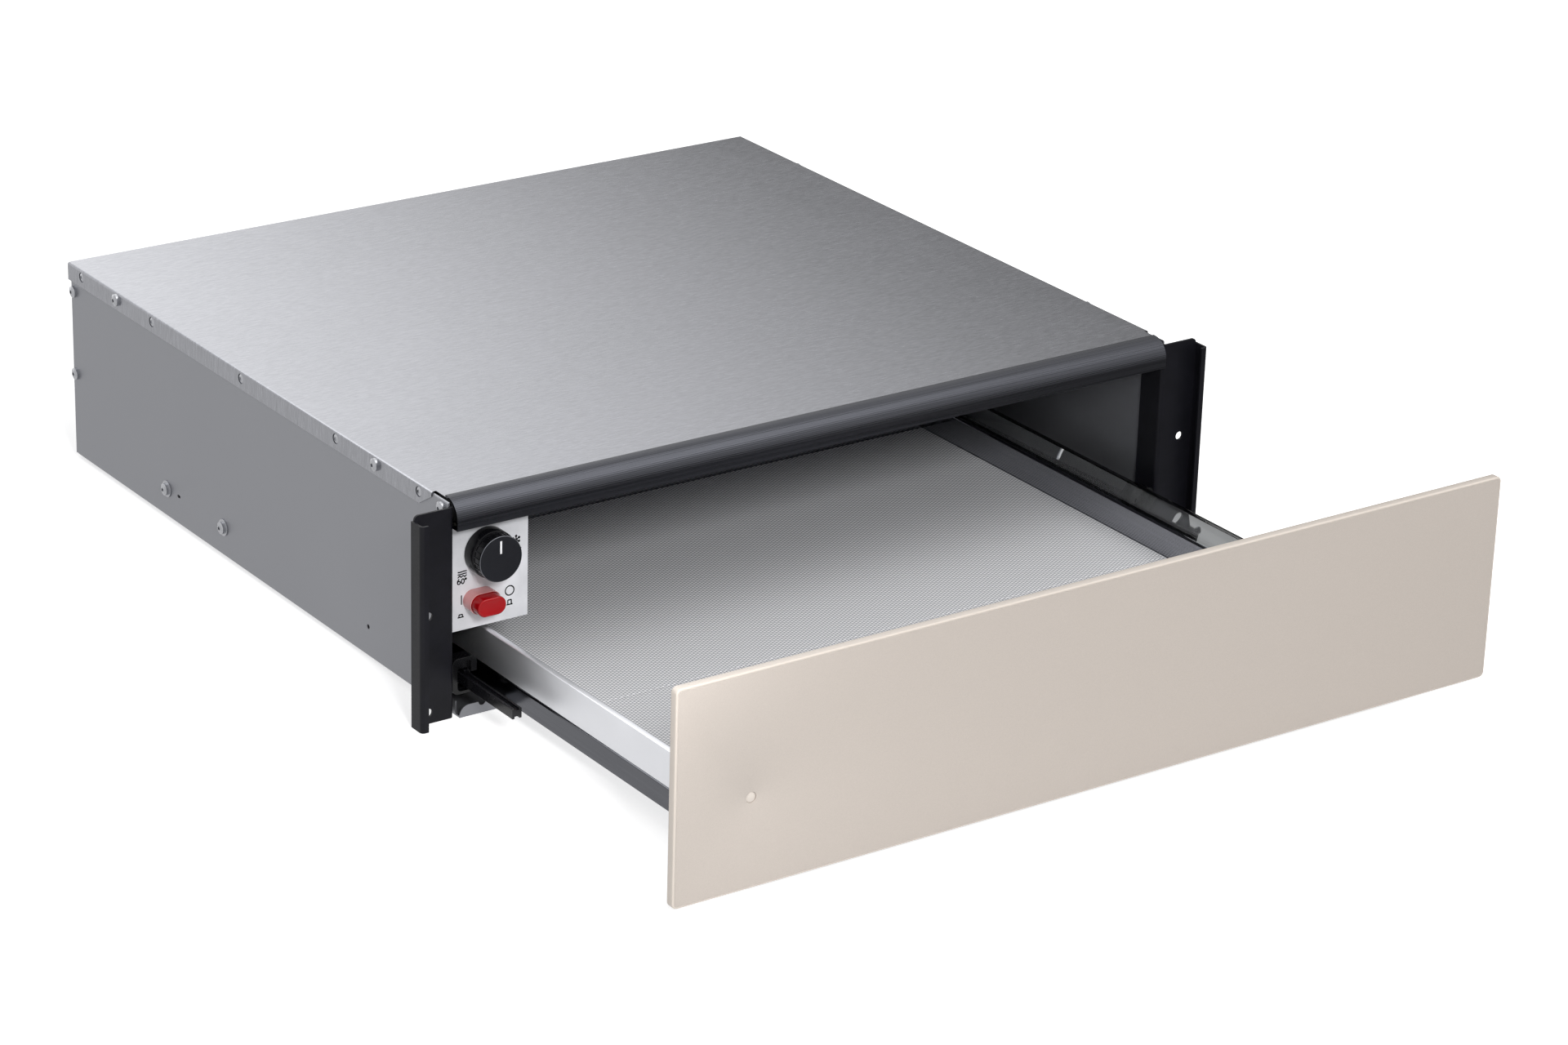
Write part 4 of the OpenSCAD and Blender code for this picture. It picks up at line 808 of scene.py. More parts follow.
@dataclass
class FrontPanel(Assembly):
    """The lacquered glass front with its rim, the lens in it and what holds it to the drawer."""

    corner: float = 3.5 * MM
    front_round: float = 0.9 * MM
    back_round: float = 0.4 * MM
    line_in: float = 1.5 * MM
    line_width: float = 0.35 * MM
    line_depth: float = 0.12 * MM
    face_steps: tuple[int, int] = (72, 18)
    hole_gap: float = 0.1 * MM
    hole_round: float = 0.3 * MM
    # Share of the painted rim highlight on the last rim ring, where it meets the face.
    rim_highlight_fade: float = 0.6
    lens_flange: float = 1.2 * MM
    flange_thick: float = 1.0 * MM
    stem_taper: float = 0.2 * MM
    dome: float = 0.9 * MM
    lens_points: int = 48
    carrier_edge: float = 0.2 * MM
    bumper_edge: float = 0.3 * MM
    finish: LacqueredFront = LacqueredFront()

    def sheet(self) -> Object:
        """The panel as one closed skin.

        Parallel rings of a round-cornered rectangle run from the back face round the edge to
        the front face, dip into a fine line near the rim, and go straight in to the lens hole.
        A hole ring's point lies where the line from the hole's centre to the outline's point
        crosses the hole's circle.
        """
        low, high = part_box("front_panel")
        middle = (low + high) / 2
        front_in, front_short = edge_round(self.front_round, 5)
        back_in, back_short = edge_round(self.back_round, 3)
        line = self.line_in + self.line_width * np.array([0.0, 0.25, 0.75, 1.0])
        inset = np.concatenate([back_in[::-1], front_in, line])
        place = np.concatenate([high.y - back_short[::-1], low.y + front_short,
                                low.y + self.line_depth * np.array([0.0, 1.0, 1.0, 0.0])])
        rings = round_rectangle((high.x - low.x) / 2, (high.z - low.z) / 2, self.corner, inset, 10,
                                self.face_steps)
        skin = placed(rings, place, Axis.Y, (middle.x, 0.0, middle.z))
        centre = np.array(middle_line("indicator_lens"))[[0, 2]]
        away = skin[-1][:, [0, 2]] - centre
        away /= np.linalg.norm(away, axis=1, keepdims=True)
        bevel = np.array([1.0, 0.3, 0.0]) * self.hole_round
        reach = self.lens_radius() + self.hole_gap + np.append(bevel, 0.0)
        hole = np.zeros((len(reach), skin.shape[1], 3))
        hole[..., [0, 2]] = centre + reach[:, None, None] * away[None]
        hole[..., 1] = np.append(low.y + bevel[::-1], high.y)[:, None]
        skin = np.concatenate([skin, hole])
        panel = loft("front_glass", skin, loop_rows=(True,))
        rim_rings = len(back_in) + len(front_in)
        # Painted highlight: full on the rim's rings, part on the last one, none on the face.
        share = np.zeros(skin.shape[:2])
        share[:rim_rings] = 1.0
        share[rim_rings - 1] = self.rim_highlight_fade
        layer = panel.data.attributes.new(self.finish.rim_highlight_layer, "FLOAT", "POINT")
        layer.data.foreach_set("value", share.ravel().astype(np.float32))
        return panel

    def lens_radius(self) -> float:
        """Radius of the lens in the panel, where it is narrower than its flange."""
        low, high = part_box("indicator_lens")
        return (high.x - low.x) / 2 - self.lens_flange

    def lens(self) -> Object:
        """The lens: a stem with a flange behind the panel, and a shallow dome sunk in its front.

        The dome's depth falls off as the square root of one less the square of the distance from
        its middle.
        """
        low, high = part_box("indicator_lens")
        panel_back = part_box("front_panel")[1].y
        flange_back = panel_back + self.flange_thick
        radius = self.lens_radius()
        flange = (high.x - low.x) / 2
        share = np.array([0.06, 0.2, 0.4, 0.6, 0.78, 0.9, 0.97, 1.0])
        dome_y = low.y + self.dome * (1.0 - np.sqrt(1.0 - 0.96 * share ** 2))
        tip = radius - self.stem_taper
        reach = np.append(share * radius, [radius, flange, flange, radius, tip])
        place = np.append(dome_y, [panel_back, panel_back, flange_back, flange_back, high.y])
        turn = np.linspace(0.0, 2 * math.pi, self.lens_points, endpoint=False)
        rings = reach[:, None, None] * np.stack([np.cos(turn), np.sin(turn)], axis=1)[None]
        return loft("lens_dome", placed(rings, place, Axis.Y, middle_line("indicator_lens")))

    def build(self) -> None:
        """Makes the front and its lens, and dresses the carrier, its screws and the bumpers."""
        self.mount(self.sheet(), Body.DRAWER, self.finish, "panel_champagne", "front_panel")
        self.mount(self.lens(), Body.DRAWER, LENS_CLEAR, "lens_clear", "indicator_lens")
        self.dress(GALVANISED, "front_carrier", edge=self.carrier_edge)
        self.dress(SCREW, "carrier_screws")
        self.dress(BUMPER_RUBBER, "panel_bumpers", edge=self.bumper_edge)


@dataclass
class Drawer(Assembly):
    """The drawer's pan with its rolled walls, rails, glass panes and dotted mat."""

    finish: DotMat = DotMat()
    mat_split: float = 0.45
    rim_share: float = 0.2
    dots_smooth_below: float = math.radians(80)
    pane_round: float = 0.6 * MM
    sheet_edge: float = 0.15 * MM

    def mat(self, name: str, low: Triple, high: Triple) -> Object:
        """A slab of the mat between two corners, with its dots standing up from its top.

        The top's points lie in rows half a dot's step apart along Y. In a row they stand the step
        over the root of three apart, and every second row is shifted by half of that, so that
        each third point is a dot's peak. The mat's rim is level with its valleys.

        Args:
            name: the piece's name.
            low: the slab's low corner.
            high: its high corner.
        Returns:
            The slab, closed at its sides and below.
        """
        step = self.finish.step
        apart = step / math.sqrt(3.0)
        rows = np.arange(math.ceil(low[1] / step * 2), math.floor(high[1] / step * 2) + 1)
        columns = np.arange(math.floor(low[0] / apart), math.ceil(high[0] / apart) + 1)
        x = (columns[None, :] + 0.5 * (rows[:, None] % 2)) * apart
        y = np.repeat(rows[:, None] * step / 2, len(columns), axis=1)
        z = high[2] + self.finish.height(x, y)
        least_in = self.rim_share * apart
        x[:, 1:-1] = np.clip(x[:, 1:-1], low[0] + least_in, high[0] - least_in)
        x[:, 0], x[:, -1], y[0], y[-1] = low[0], high[0], low[1], high[1]
        whole_low, whole_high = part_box("anti_slip_mat")
        rim = (x == low[0]) | (x == high[0]) | (y <= whole_low.y) | (y >= whole_high.y)
        z[rim] = high[2] - self.finish.dot_depth
        top = np.stack([x, y, z], axis=-1).reshape(-1, 3)
        number = np.arange(len(top)).reshape(x.shape)
        a, b, c, d = number[:-1, :-1], number[:-1, 1:], number[1:, :-1], number[1:, 1:]
        level = np.broadcast_to(rows[:-1, None, None] % 2 == 0, a.shape + (3,))
        first = np.where(level, np.stack([a, b, c], axis=-1), np.stack([a, b, d], axis=-1))
        second = np.where(level, np.stack([b, d, c], axis=-1), np.stack([a, d, c], axis=-1))
        ring = np.concatenate([number[0, :-1], number[:-1, -1], number[-1, :0:-1],
                               number[:0:-1, 0]])
        below = top[ring] * [1.0, 1.0, 0.0] + [0.0, 0.0, low[2]]
        under = len(top) + np.arange(len(ring))
        walls = np.stack([ring, under, np.roll(under, -1), np.roll(ring, -1)], axis=-1)
        faces = [face for part in (first, second) for face in part.reshape(-1, 3).tolist()]
        faces += walls.tolist() + [under[::-1].tolist()]
        return piece(name, np.concatenate([top, below]), faces, self.dots_smooth_below)

    def build(self) -> None:
        """Makes the mat and the panes, and dresses the pan and its rails."""
        low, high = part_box("anti_slip_mat")
        step = self.finish.step
        split = round((low.y + (high.y - low.y) * self.mat_split) / step) * step
        for name, start, end in (("mat_front", low.y, split), ("mat_rear", split, high.y)):
            slab = self.mat(name, (low.x, start, low.z), (high.x, end, high.z))
            self.mount(slab, Body.DRAWER, self.finish, "mat_grey", "anti_slip_mat")
        for side, finish in (("left", COATED_PANE), ("right", CLEAR_PANE)):
            low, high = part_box(f"{side}_pane")
            pane = rounded_bar(f"{side}_pane_glass", low, high, Axis.Y, self.pane_round)
            self.mount(pane, Body.DRAWER, finish, "pane_glass", f"{side}_pane")
        self.dress(POLISHED, "drawer_pan", edge=self.sheet_edge)
        # The rails wear the darker copy of the polished steel as painted shade.
        self.dress(SHADED_RAIL, "left_side_rail", "right_side_rail", edge=self.sheet_edge)
        self.dress(GALVANISED, "latch_striker", edge=self.sheet_edge)


@dataclass
class Slides(Assembly):
    """The two telescopic slides and their guides at the mouth."""

    edge: float = 0.25 * MM

    def build(self) -> None:
        """Dresses channels, bars and guides."""
        for side in ("left", "right"):
            self.dress(SLIDE_BLACK, f"{side}_slide_outer", f"{side}_slide_inner",
                       f"{side}_slide_middle", edge=self.edge)
            self.dress(GUIDE_BLACK, f"{side}_slide_guide", edge=self.edge)


@dataclass(frozen=True)
class Stroke:
    """The middle line of a printed stroke in X and Z, and whether it ends where it begins."""

    path: np.ndarray
    closed: bool = False

    @staticmethod
    def line(origin: Pair, *corners: Pair, closed: bool = False) -> Stroke:
        """A straight or bent line, its corners measured in millimetres from the origin."""
        return Stroke(np.array(origin) + np.array(corners) * MM, closed)

    @staticmethod
    def bow(origin: Pair, middle: Pair, radii: Pair, angles: Pair, steps: int,
            closed: bool = True) -> Stroke:
        """Part of an ellipse.

        Args:
            origin: the place that the middle is measured from, in metres.
            middle: its middle, in millimetres.
            radii: its radii along X and Z, in millimetres.
            angles: its first and last angle, in degrees.
            steps: number of its points.
            closed: whether the gap between the last point and the first is closed.
        Returns:
            The stroke.
        """
        turn = np.radians(np.linspace(*angles, steps))
        round_middle = np.stack([radii[0] * np.cos(turn), radii[1] * np.sin(turn)], axis=1)
        return Stroke(np.array(origin) + (np.array(middle) + round_middle) * MM, closed)


@dataclass
class Controls(Assembly):
    """The control plate with its markings, the thermostat knob and the push button."""

    grips: int = 24
    grip_width: float = 2.9 * MM
    grip_sink: float = 0.5 * MM
    grip_start: float = 1.2 * MM
    grip_length: float = 5.6 * MM
    grip_wall: float = 0.12
    collar_length: float = 9.0 * MM
    waist: float = 0.5 * MM
    knob_edge: float = 0.35 * MM
    edge_cut: float = 0.12 * MM
    edge_reach: float = 0.1 * MM
    step_cut: float = 0.3 * MM
    step_reach: float = 0.05 * MM
    face_sink: float = 0.06 * MM
    face_depth: float = 0.2 * MM
    face_in: float = 0.5 * MM
    rim_depth: float = 0.3 * MM
    highlight_width: float = 0.25 * MM
    button_gap: float = 0.9 * MM
    button_stem: float = 14.0 * MM
    button_round: float = 1.1 * MM
    dish: float = 0.3 * MM
    post_half: float = 4.0 * MM
    post_corner: float = 0.6 * MM
    post_overlap: float = 1.0 * MM
    collar_wall: float = 0.6 * MM
    marking_lift: float = 0.04 * MM
    marking_sink: float = 0.01 * MM
    stroke: float = 0.78 * MM
    plate_edge: float = 0.1 * MM
    box_edge: float = 0.2 * MM

    def knob(self) -> Object:
        """The knob as one skin over rings of different radius.

        In the grip stretch each ring's radius dips to the flat of a pocket, which is the pocket's
        depth over the cosine of the angle from its middle, and stands at full radius between two
        pockets.
        """
        low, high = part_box("thermostat_knob")
        radius = (high.x - low.x) / 2
        front_r = radius - self.waist
        half = math.asin(self.grip_width / 2 / front_r)
        sector = 2 * math.pi / self.grips
        inside = np.array([-1.0, -0.5, 0.0, 0.5, 1.0]) * half
        wall = self.grip_wall * half
        local = np.concatenate([[-sector / 2, -half - wall], inside, [half + wall]])
        turn = (np.arange(self.grips)[:, None] * sector + local[None, :]).ravel()
        lean = np.tile(local, self.grips)
        flat = (front_r - self.grip_sink) / np.cos(lean)
        pocket = np.where(np.abs(lean) < half + wall / 2, flat, front_r)
        edge, cut, near = self.knob_edge, self.edge_cut, self.edge_reach
        start = low.y + self.grip_start
        end = start + self.grip_length
        step = high.y - self.collar_length
        face = low.y + self.face_sink
        stations = [
            (high.y, radius - edge), (high.y - edge, radius), (step + edge, radius),
            (step + near, radius - cut), (step, radius - self.step_cut),
            (step - self.step_reach, front_r), (end + near, front_r), (end, pocket),
            (start, pocket), (start - near, front_r), (low.y + edge, front_r),
            (low.y + near, front_r - cut),
            (low.y, front_r - edge), (low.y, front_r - 3 * edge), (face, front_r - 3.4 * edge),
            (face, front_r / 2)]
        place = np.array([station[0] for station in stations])
        reach = np.array([np.broadcast_to(station[1], turn.shape) for station in stations])
        rings = reach[..., None] * np.stack([np.sin(turn), np.cos(turn)], axis=1)[None]
        return loft("knob_with_grips", placed(rings, place, Axis.Y, middle_line("thermostat_knob")))

    def knob_faces(self, knob: Object) -> None:
        """Gives the knob's face its matt finish, and paints its front rim and grip edges paler as a
        highlight.

        A face lies on a grip edge where it is much narrower round the knob than a grip is.
        """
        low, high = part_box("thermostat_knob")
        middle = np.array(middle_line("thermostat_knob"))[[0, 2]]
        count = len(knob.data.polygons)
        centres, areas = np.zeros(count * 3), np.zeros(count)
        knob.data.polygons.foreach_get("center", centres)
        knob.data.polygons.foreach_get("area", areas)
        centres = centres.reshape(-1, 3)
        deep = centres[:, 1] - low.y
        away = np.linalg.norm(centres[:, [0, 2]] - middle, axis=1)
        front_r = (high.x - low.x) / 2 - self.waist
        matt = (deep < self.face_depth) & (away < front_r - self.face_in)
        rim = (deep < self.rim_depth) & ~matt
        grips = (deep > self.grip_start) & (deep < self.grip_start + self.grip_length)
        # The rim and the narrow grip edges get the painted highlight.
        edges = rim | (grips & (areas < self.grip_length * self.highlight_width))
        knob.data.materials.append(self.finished(KNOB_FACE))
        knob.data.materials.append(self.finished(KNOB_HIGHLIGHT))
        knob.data.polygons.foreach_set("material_index", (matt + 2 * edges).astype(np.int32))

    @staticmethod
    def oval(width: float, height: float, inset: np.ndarray) -> np.ndarray:
        """Rings of a flat oval, two half circles joined by straight sides, drawn in by insets."""
        return round_rectangle(width / 2, height / 2, height / 2, inset, 12, (6, 1))

    def button(self) -> Object:
        """The button: a flat oval cap with a rounded, slightly dished front, and its stem."""
        low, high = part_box("power_button")
        collar_low, collar_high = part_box("button_collar")
        width = collar_high.x - collar_low.x - 2 * self.button_gap
        height = collar_high.z - collar_low.z - 2 * self.button_gap
        middle = middle_line("button_collar")
        cap_back = high.y - self.button_stem
        inset, short = edge_round(self.button_round, 5)
        dish_in = np.array([2.0, 3.2, 4.4, 5.3]) * MM
        dish = self.dish * (1.0 - ((height / 2 - dish_in) / (height / 2)) ** 2)
        place = np.concatenate([[cap_back], low.y + short, low.y + dish])
        cap = self.oval(width, height, np.concatenate([[0.0], inset, dish_in]))
        post = round_rectangle(self.post_half, self.post_half, self.post_corner, np.zeros(2), 4)
        post_place = np.array([cap_back - self.post_overlap, high.y])
        return loft("button_cap", placed(cap, place, Axis.Y, middle),
                    placed(post, post_place, Axis.Y, middle))

    def collar(self) -> Object:
        """The clear sleeve round the button: an oval tube with a rounded front edge."""
        low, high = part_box("button_collar")
        half_wall = self.collar_wall / 2
        turn = np.linspace(0.0, math.pi, 7)
        inset = np.concatenate([[0.0], half_wall * (1.0 - np.cos(turn)), [self.collar_wall]])
        place = np.concatenate([[high.y], low.y + half_wall * (1.0 - np.sin(turn)), [high.y]])
        rings = self.oval(high.x - low.x, high.z - low.z, inset)
        skin = placed(rings, place, Axis.Y, middle_line("button_collar"))
        return loft("button_sleeve", skin, loop_rows=(True,))

    def drawn(self, stroke: Stroke) -> np.ndarray:
        """A printed stroke: a thin slab that follows its middle line on the plate's face.

        Each point of the line gets a left and a right point, half the width away along the
        normal of the line there, just behind the face and at the marking's height in front of it.

        Args:
            stroke: the stroke.
        Returns:
            Its rings, of shape (points, 4, 3).
        """
        path = stroke.path
        if stroke.closed:
            way = np.roll(path, -1, axis=0) - np.roll(path, 1, axis=0)
        else:
            way = np.gradient(path, axis=0)
        side = np.stack([-way[:, 1], way[:, 0]], axis=1)
        side *= self.stroke / 2 / np.linalg.norm(side, axis=1, keepdims=True)
        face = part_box("control_plate")[0].y
        back, front = face + self.marking_sink, face - self.marking_lift
        rings = np.zeros((len(path), 4, 3))
        for k, (sign, depth) in enumerate(((1, back), (1, front), (-1, front), (-1, back))):
            rings[:, k, 0] = path[:, 0] + sign * side[:, 0]
            rings[:, k, 2] = path[:, 1] + sign * side[:, 1]
            rings[:, k, 1] = depth
        return rings

    def star(self, origin: Pair) -> list[Stroke]:
        """A star of six forked arms with three dots below it."""
        arm, fork_share, twig_share, leans = 3.2, 0.55, 0.36, (-0.7, 0.7)
        strokes = []
        for angle in np.radians(np.arange(0, 360, 60) + 90):
            tip = arm * np.array([math.cos(angle), math.sin(angle)])
            strokes.append(Stroke.line(origin, (0.0, 0.0), tip))
            for turn in angle + np.array(leans):
                twig = twig_share * arm * np.array([math.cos(turn), math.sin(turn)])
                strokes.append(Stroke.line(origin, fork_share * tip, fork_share * tip + twig))
        dots = ((1.6, -4.4), (3.1, -5.8), (0.3, -6.2))
        return strokes + [Stroke.bow(origin, dot, (0.22, 0.22), (0, 330), 12) for dot in dots]

    def waves(self, origin: Pair) -> list[Stroke]:
        """Three level lines, one above the other, each a sine wave; the lowest is the liveliest."""
        reach = np.linspace(-3.1, 3.1, 40)
        return [Stroke.line(origin, *np.stack([reach, up + height * np.sin(reach * pace)], axis=1))
                for up, height, pace in ((1.5, 0.14, 1.0), (0.0, 0.14, 1.0), (-1.5, 0.4, 2.6))]

    def sixty(self, origin: Pair) -> list[Stroke]:
        """The figures 60 and a degree sign."""
        return [Stroke.bow(origin, (-2.3, -0.55), (0.95, 0.95), (0, 348), 24),
                Stroke.bow(origin, (-0.95, -0.2), (2.3, 2.2), (188, 116), 14, closed=False),
                Stroke.bow(origin, (0.4, 0.0), (0.95, 1.5), (0, 350), 30),
                Stroke.bow(origin, (2.4, 1.2), (0.42, 0.42), (0, 340), 16)]

    def switch_sign(self, origin: Pair, height: float) -> list[Stroke]:
        """A button's outline of some height in millimetres, between two short pieces of surface."""
        near, far, half, cut = 1.1, 2.1, 1.2, 0.12
        surface = [Stroke.line(origin, (-far, 0.0), (-near, 0.0)),
                   Stroke.line(origin, (near, 0.0), (far, 0.0))]
        corners = ((cut - half, 0.0), (half - cut, 0.0), (half, cut), (half, height - cut),
                   (half - cut, height), (cut - half, height), (-half, height - cut), (-half, cut))
        return surface + [Stroke.line(origin, *corners, closed=True)]

    def markings(self) -> Object:
        """All the plate's printed markings as one piece, placed from the knob and the button."""
        knob_x, _, knob_z = middle_line("thermostat_knob")
        button_x, _, button_z = middle_line("button_collar")
        waves_x = knob_x - 16.1 * MM
        off_x, on_x = button_x + 21.7 * MM, button_x - 11.6 * MM
        strokes = [
            *self.star((knob_x + 21.0 * MM, knob_z + 1.7 * MM)),
            *self.waves((waves_x, knob_z - 12.2 * MM)),
            *self.sixty((waves_x, knob_z - 16.9 * MM)),
            Stroke.bow((off_x, button_z), (0.0, 0.0), (3.0, 3.0), (0, 355), 48),
            Stroke.line((on_x, button_z), (0.0, -1.8), (0.0, 4.2)),
            *self.switch_sign((off_x, button_z - 9.0 * MM), 2.9),
            *self.switch_sign((on_x - 0.5 * MM, button_z - 9.8 * MM), 1.7)]
        return loft("plate_markings", *(self.drawn(stroke) for stroke in strokes),
                    loop_rows=[stroke.closed for stroke in strokes])

    def build(self) -> None:
        """Makes knob, button, sleeve and markings, and dresses what lies behind them."""
        knob = self.knob()
        self.mount(knob, Body.KNOB, KNOB_BLACK, "knob_black", "thermostat_knob")
        self.knob_faces(knob)
        self.mount(self.button(), Body.BUTTON, BUTTON_RED, "button_red", "power_button")
        self.mount(self.collar(), Body.CABINET, COLLAR_PINK, "collar_pink", "button_collar")
        self.mount(self.markings(), Body.CABINET, MARKING_BLACK, "knob_black")
        self.dress(POINTER_WHITE, "knob_pointer")
        self.dress(SHAFT, "thermostat_shaft")
        self.dress(PLATE_WHITE, "control_plate", edge=self.plate_edge)
        self.dress(BOX_BLACK, "control_box", edge=self.box_edge)
        self.dress(THERMOSTAT_WHITE, "thermostat_body")
        self.dress(BAKELITE, "switch_body")


@dataclass
class HeaterBay(Assembly):
    """The inner ceiling and all that lies between it and the cover, and the push latch."""

    latch_edge: float = 0.2 * MM

    def build(self) -> None:
        """Dresses the ceiling, duct, heater, fan, wiring and latch."""
        self.dress(BOX_BLACK, "latch_body", edge=self.latch_edge)
        for finish, names in (
                (CEILING, ["ceiling_plate"]), (ALUMINISED, ["hot_air_duct"]),
                (SHEATH, ["heating_element"]), (SPACER, ["element_clips"]),
                (MOTOR_BLACK, ["fan_motor"]), (WHEEL, ["fan_wheel"]),
                (SHAFT, ["fan_shaft", "latch_plunger"]), (COPPER, ["sensor_bulb"]),
                (BAKELITE, ["limit_thermostat"]), (NYLON_WHITE, ["terminal_block"]),
                (LOOM, ["wiring_loom"])):
            self.dress(finish, *names)


@dataclass(frozen=True)
class PhotoCamera:
    """The camera that took the photograph, as its frame of 1920 by 1280 gives it."""

    focal_px: float = 5838.0
    frame_px: float = 1920.0
    sensor_mm: float = 36.0
    azimuth: float = math.radians(-35.38)
    elevation: float = math.radians(22.556)
    roll: float = math.radians(1.708)
    place: Triple = (-1.592, -2.20185, 1.1957)
    clip: Pair = (0.05, 60.0)

    def build(self) -> None:
        """Places the camera: its back axis from azimuth and elevation, then the roll about it."""
        level = math.cos(self.elevation)
        back = np.array([math.sin(self.azimuth) * level, -math.cos(self.azimuth) * level,
                         math.sin(self.elevation)])
        data = bpy.data.cameras.new("photo_camera")
        data.sensor_width = self.sensor_mm
        data.lens = self.focal_px * self.sensor_mm / self.frame_px
        data.clip_start, data.clip_end = self.clip
        camera = bpy.data.objects.new("photo_camera", data)
        bpy.context.scene.collection.objects.link(camera)
        camera.matrix_world = pose(back, self.place, self.roll)
        bpy.context.scene.camera = camera


@dataclass(frozen=True)
class SoftLamp:
    """A rectangular soft box that looks at a point."""

    name: str
    place: Triple
    target: Triple
    width: float
    height: float
    watts: float
    in_gloss: bool = True

    def build(self) -> None:
        """Adds the lamp."""
        data = bpy.data.lights.new(self.name, "AREA")
        data.shape = "RECTANGLE"
        data.size, data.size_y, data.energy = self.width, self.height, self.watts
        lamp = bpy.data.objects.new(self.name, data)
        bpy.context.scene.collection.objects.link(lamp)
        way = np.array(self.place) - np.array(self.target)
        lamp.matrix_world = pose(way / np.linalg.norm(way), self.place)
        lamp.visible_camera = False
        lamp.visible_glossy = self.in_gloss


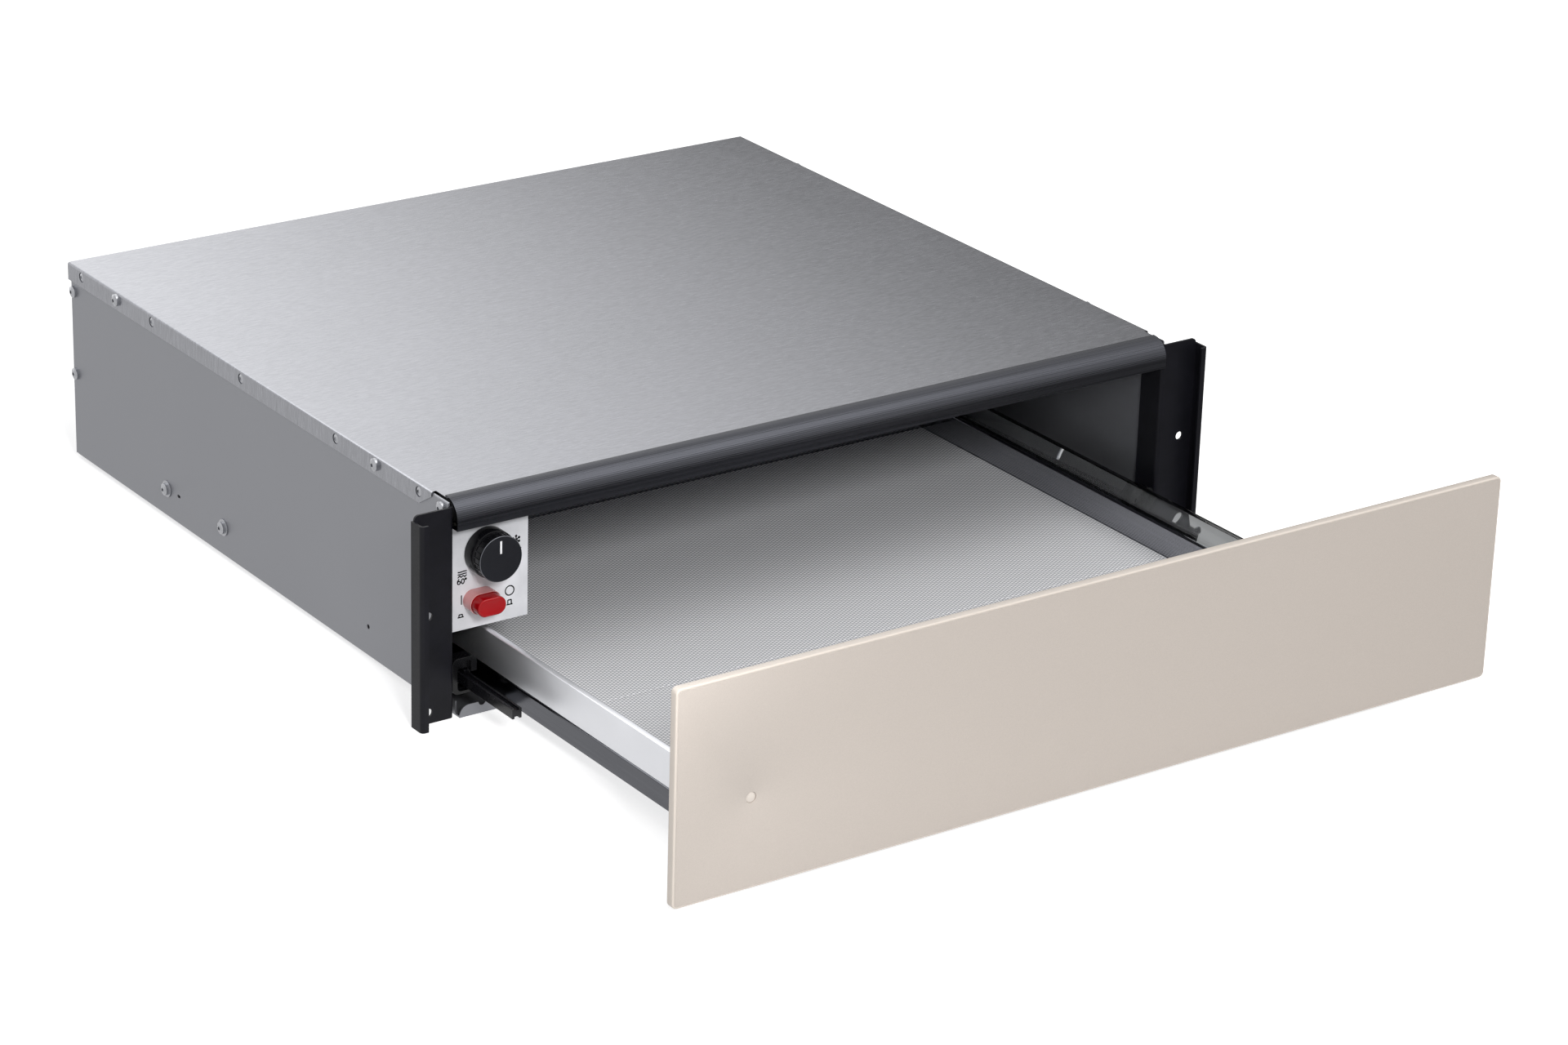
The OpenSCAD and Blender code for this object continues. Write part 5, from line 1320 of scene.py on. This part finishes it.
@dataclass
class Studio:
    """A pale floor, an even world, soft boxes and a fading card that only gloss sees."""

    level: float = 0.36
    floor_half: float = 6.0
    floor_drop: float = 0.3 * MM
    floor_white: float = 0.82
    floor_lift: float = 0.65
    floor_gloss: float = 0.86
    floor_fall: float = 0.66
    fall_right: Pair = (-0.25, 0.4)
    fall_back: Pair = (0.0, 0.3)
    card_y: float = 1.5
    card_x: Pair = (-4.0, 8.0)
    card_top: float = 7.0
    fade_from: Pair = (-1.58, -0.909)
    fade_slope: Pair = (1.2, 1.8)
    fade_light: Pair = (2.0, 0.18)
    fade_height: Pair = (0.6, 1.8)
    high_share: float = 0.45
    edge_slope: Pair = (0.4, 1.05)
    edge_light: float = 3.4
    edge_height: Pair = (0.85, 1.1)
    side_fall: float = 1.1
    side_slope: Pair = (0.45, 1.05)
    lamps: tuple[SoftLamp, ...] = (
        SoftLamp("overhead", (0.6, -1.0, 2.4), (0.0, -0.1, 0.05), 2.2, 2.0, 26.0),
        SoftLamp("front_left", (-1.2, -3.2, 2.1), (0.0, 0.0, 0.05), 0.7, 0.7, 78.0, in_gloss=False),
        SoftLamp("corner_glow", (-0.33, -0.36, 0.2), (-0.297, -0.284, 0.125), 0.06, 0.06, 0.08,
                 in_gloss=False))

    def world(self) -> None:
        """An even world that shows white, directly, in gloss and through glass, and lights less."""
        world = bpy.data.worlds.new("studio")
        world.use_nodes = True
        bpy.context.scene.world = world
        bench = NodeBench(world.node_tree)
        path = bench.add("ShaderNodeLightPath").outputs
        direct = bench.math("MAXIMUM", path["Is Camera Ray"], path["Is Glossy Ray"])
        seen = bench.math("MAXIMUM", direct, path["Is Transmission Ray"])
        strength = bench.math("MULTIPLY_ADD", seen, 1.0 - self.level, self.level)
        ground = bench.add("ShaderNodeBackground", {"Color": WHITE, "Strength": strength})
        bench.add("ShaderNodeOutputWorld", {"Surface": ground.outputs["Background"]})

    def floor(self) -> None:
        """A pale floor that keeps the object's shadow and shows white where nothing shades it.

        Gloss sees it fade from pale to dark at the front right, as the photograph's studio does.
        Its own normal points down, and it is clear from that side, so that the underside can be
        looked at.
        """
        half, drop = self.floor_half, -self.floor_drop
        corners = np.array([[-half, -half, drop], [half, -half, drop], [half, half, drop],
                            [-half, half, drop]])
        floor = piece("floor", corners, [[0, 1, 2, 3]])
        bench = MaterialBench("pale_floor")
        bench.set(Roughness=0.9, Specular_IOR_Level=0.1,
                  Base_Color=(self.floor_white,) * 3 + (1.0,))
        path = bench.add("ShaderNodeLightPath").outputs
        seen = bench.math("MAXIMUM", path["Is Camera Ray"], path["Is Transmission Ray"])
        lift = bench.glow(bench.math("MULTIPLY", seen, self.floor_lift))
        both = bench.add("ShaderNodeAddShader", {0: bench.shader.outputs["BSDF"], 1: lift})
        x, y, _ = bench.axes()
        fall = bench.math("MULTIPLY", bench.spread(x, 0.0, self.floor_fall, *self.fall_right),
                          bench.spread(y, 1.0, 0.0, *self.fall_back))
        fading = bench.glow(bench.math("SUBTRACT", self.floor_gloss, fall))
        above = bench.either(path["Is Glossy Ray"], both.outputs["Shader"], fading)
        through = bench.add("ShaderNodeBsdfTransparent").outputs["BSDF"]
        side = bench.add("ShaderNodeNewGeometry").outputs["Backfacing"]
        bench.surface(bench.either(side, through, above))
        floor.data.materials.append(bench.material)

    def card(self) -> None:
        """A board behind the object, seen in gloss alone, that fades from bright to dark.

        The fade runs with the ratio of a place's distance from a far corner point along X to
        its height above that point, so that its lines of equal light lie along the cover. To
        the left it is brighter still high up, where only the cover's bent edge reflects it, and
        plain lower down, where the cover reflects it when seen from the right.
        """
        (left, right), top, y = self.card_x, self.card_top, self.card_y
        corners = np.array([[left, y, 0.0], [right, y, 0.0], [right, y, top], [left, y, top]])
        card = piece("fading_card", corners, [[0, 1, 2, 3]])
        bench = MaterialBench("card_light")
        x, _, z = bench.axes()
        run, rise = (bench.math("SUBTRACT", socket, start)
                     for socket, start in zip((x, z), self.fade_from))
        slope = bench.math("DIVIDE", run, rise)
        fade = bench.spread(slope, *self.fade_light, *self.fade_slope)
        side = bench.math("SUBTRACT", fade,
                          bench.spread(slope, self.side_fall, 0.0, *self.side_slope))
        edge = bench.math("MULTIPLY", bench.spread(slope, self.edge_light, 0.0, *self.edge_slope),
                          bench.spread(z, 0.0, 1.0, *self.edge_height))
        height = bench.spread(z, 1.0, self.high_share, *self.fade_height)
        light = bench.math("MULTIPLY", bench.math("ADD", side, edge), height)
        bench.surface(bench.glow(light))
        card.data.materials.append(bench.material)
        for ray in ("camera", "diffuse", "transmission", "shadow", "volume_scatter"):
            setattr(card, f"visible_{ray}", False)

    def build(self) -> None:
        """Sets up camera, world, floor, card and lamps."""
        PhotoCamera().build()
        bpy.context.scene.view_settings.view_transform = "Standard"
        self.world()
        self.floor()
        self.card()
        for lamp in self.lamps:
            lamp.build()


def main() -> None:
    """Loads the frame, builds the studio and every sub-assembly."""
    logging.basicConfig(level=logging.INFO, format="%(name)s: %(message)s")
    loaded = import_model()
    Studio().build()
    built: dict[str, Material] = {}
    for assembly in (Case, FrontTrim, FrontPanel, Drawer, Slides, Controls, HeaterBay):
        log.info("building %s", assembly.__name__)
        assembly(loaded["nodes"], built).build()
    bpy.context.view_layer.update()


if __name__ == "__main__":
    main()
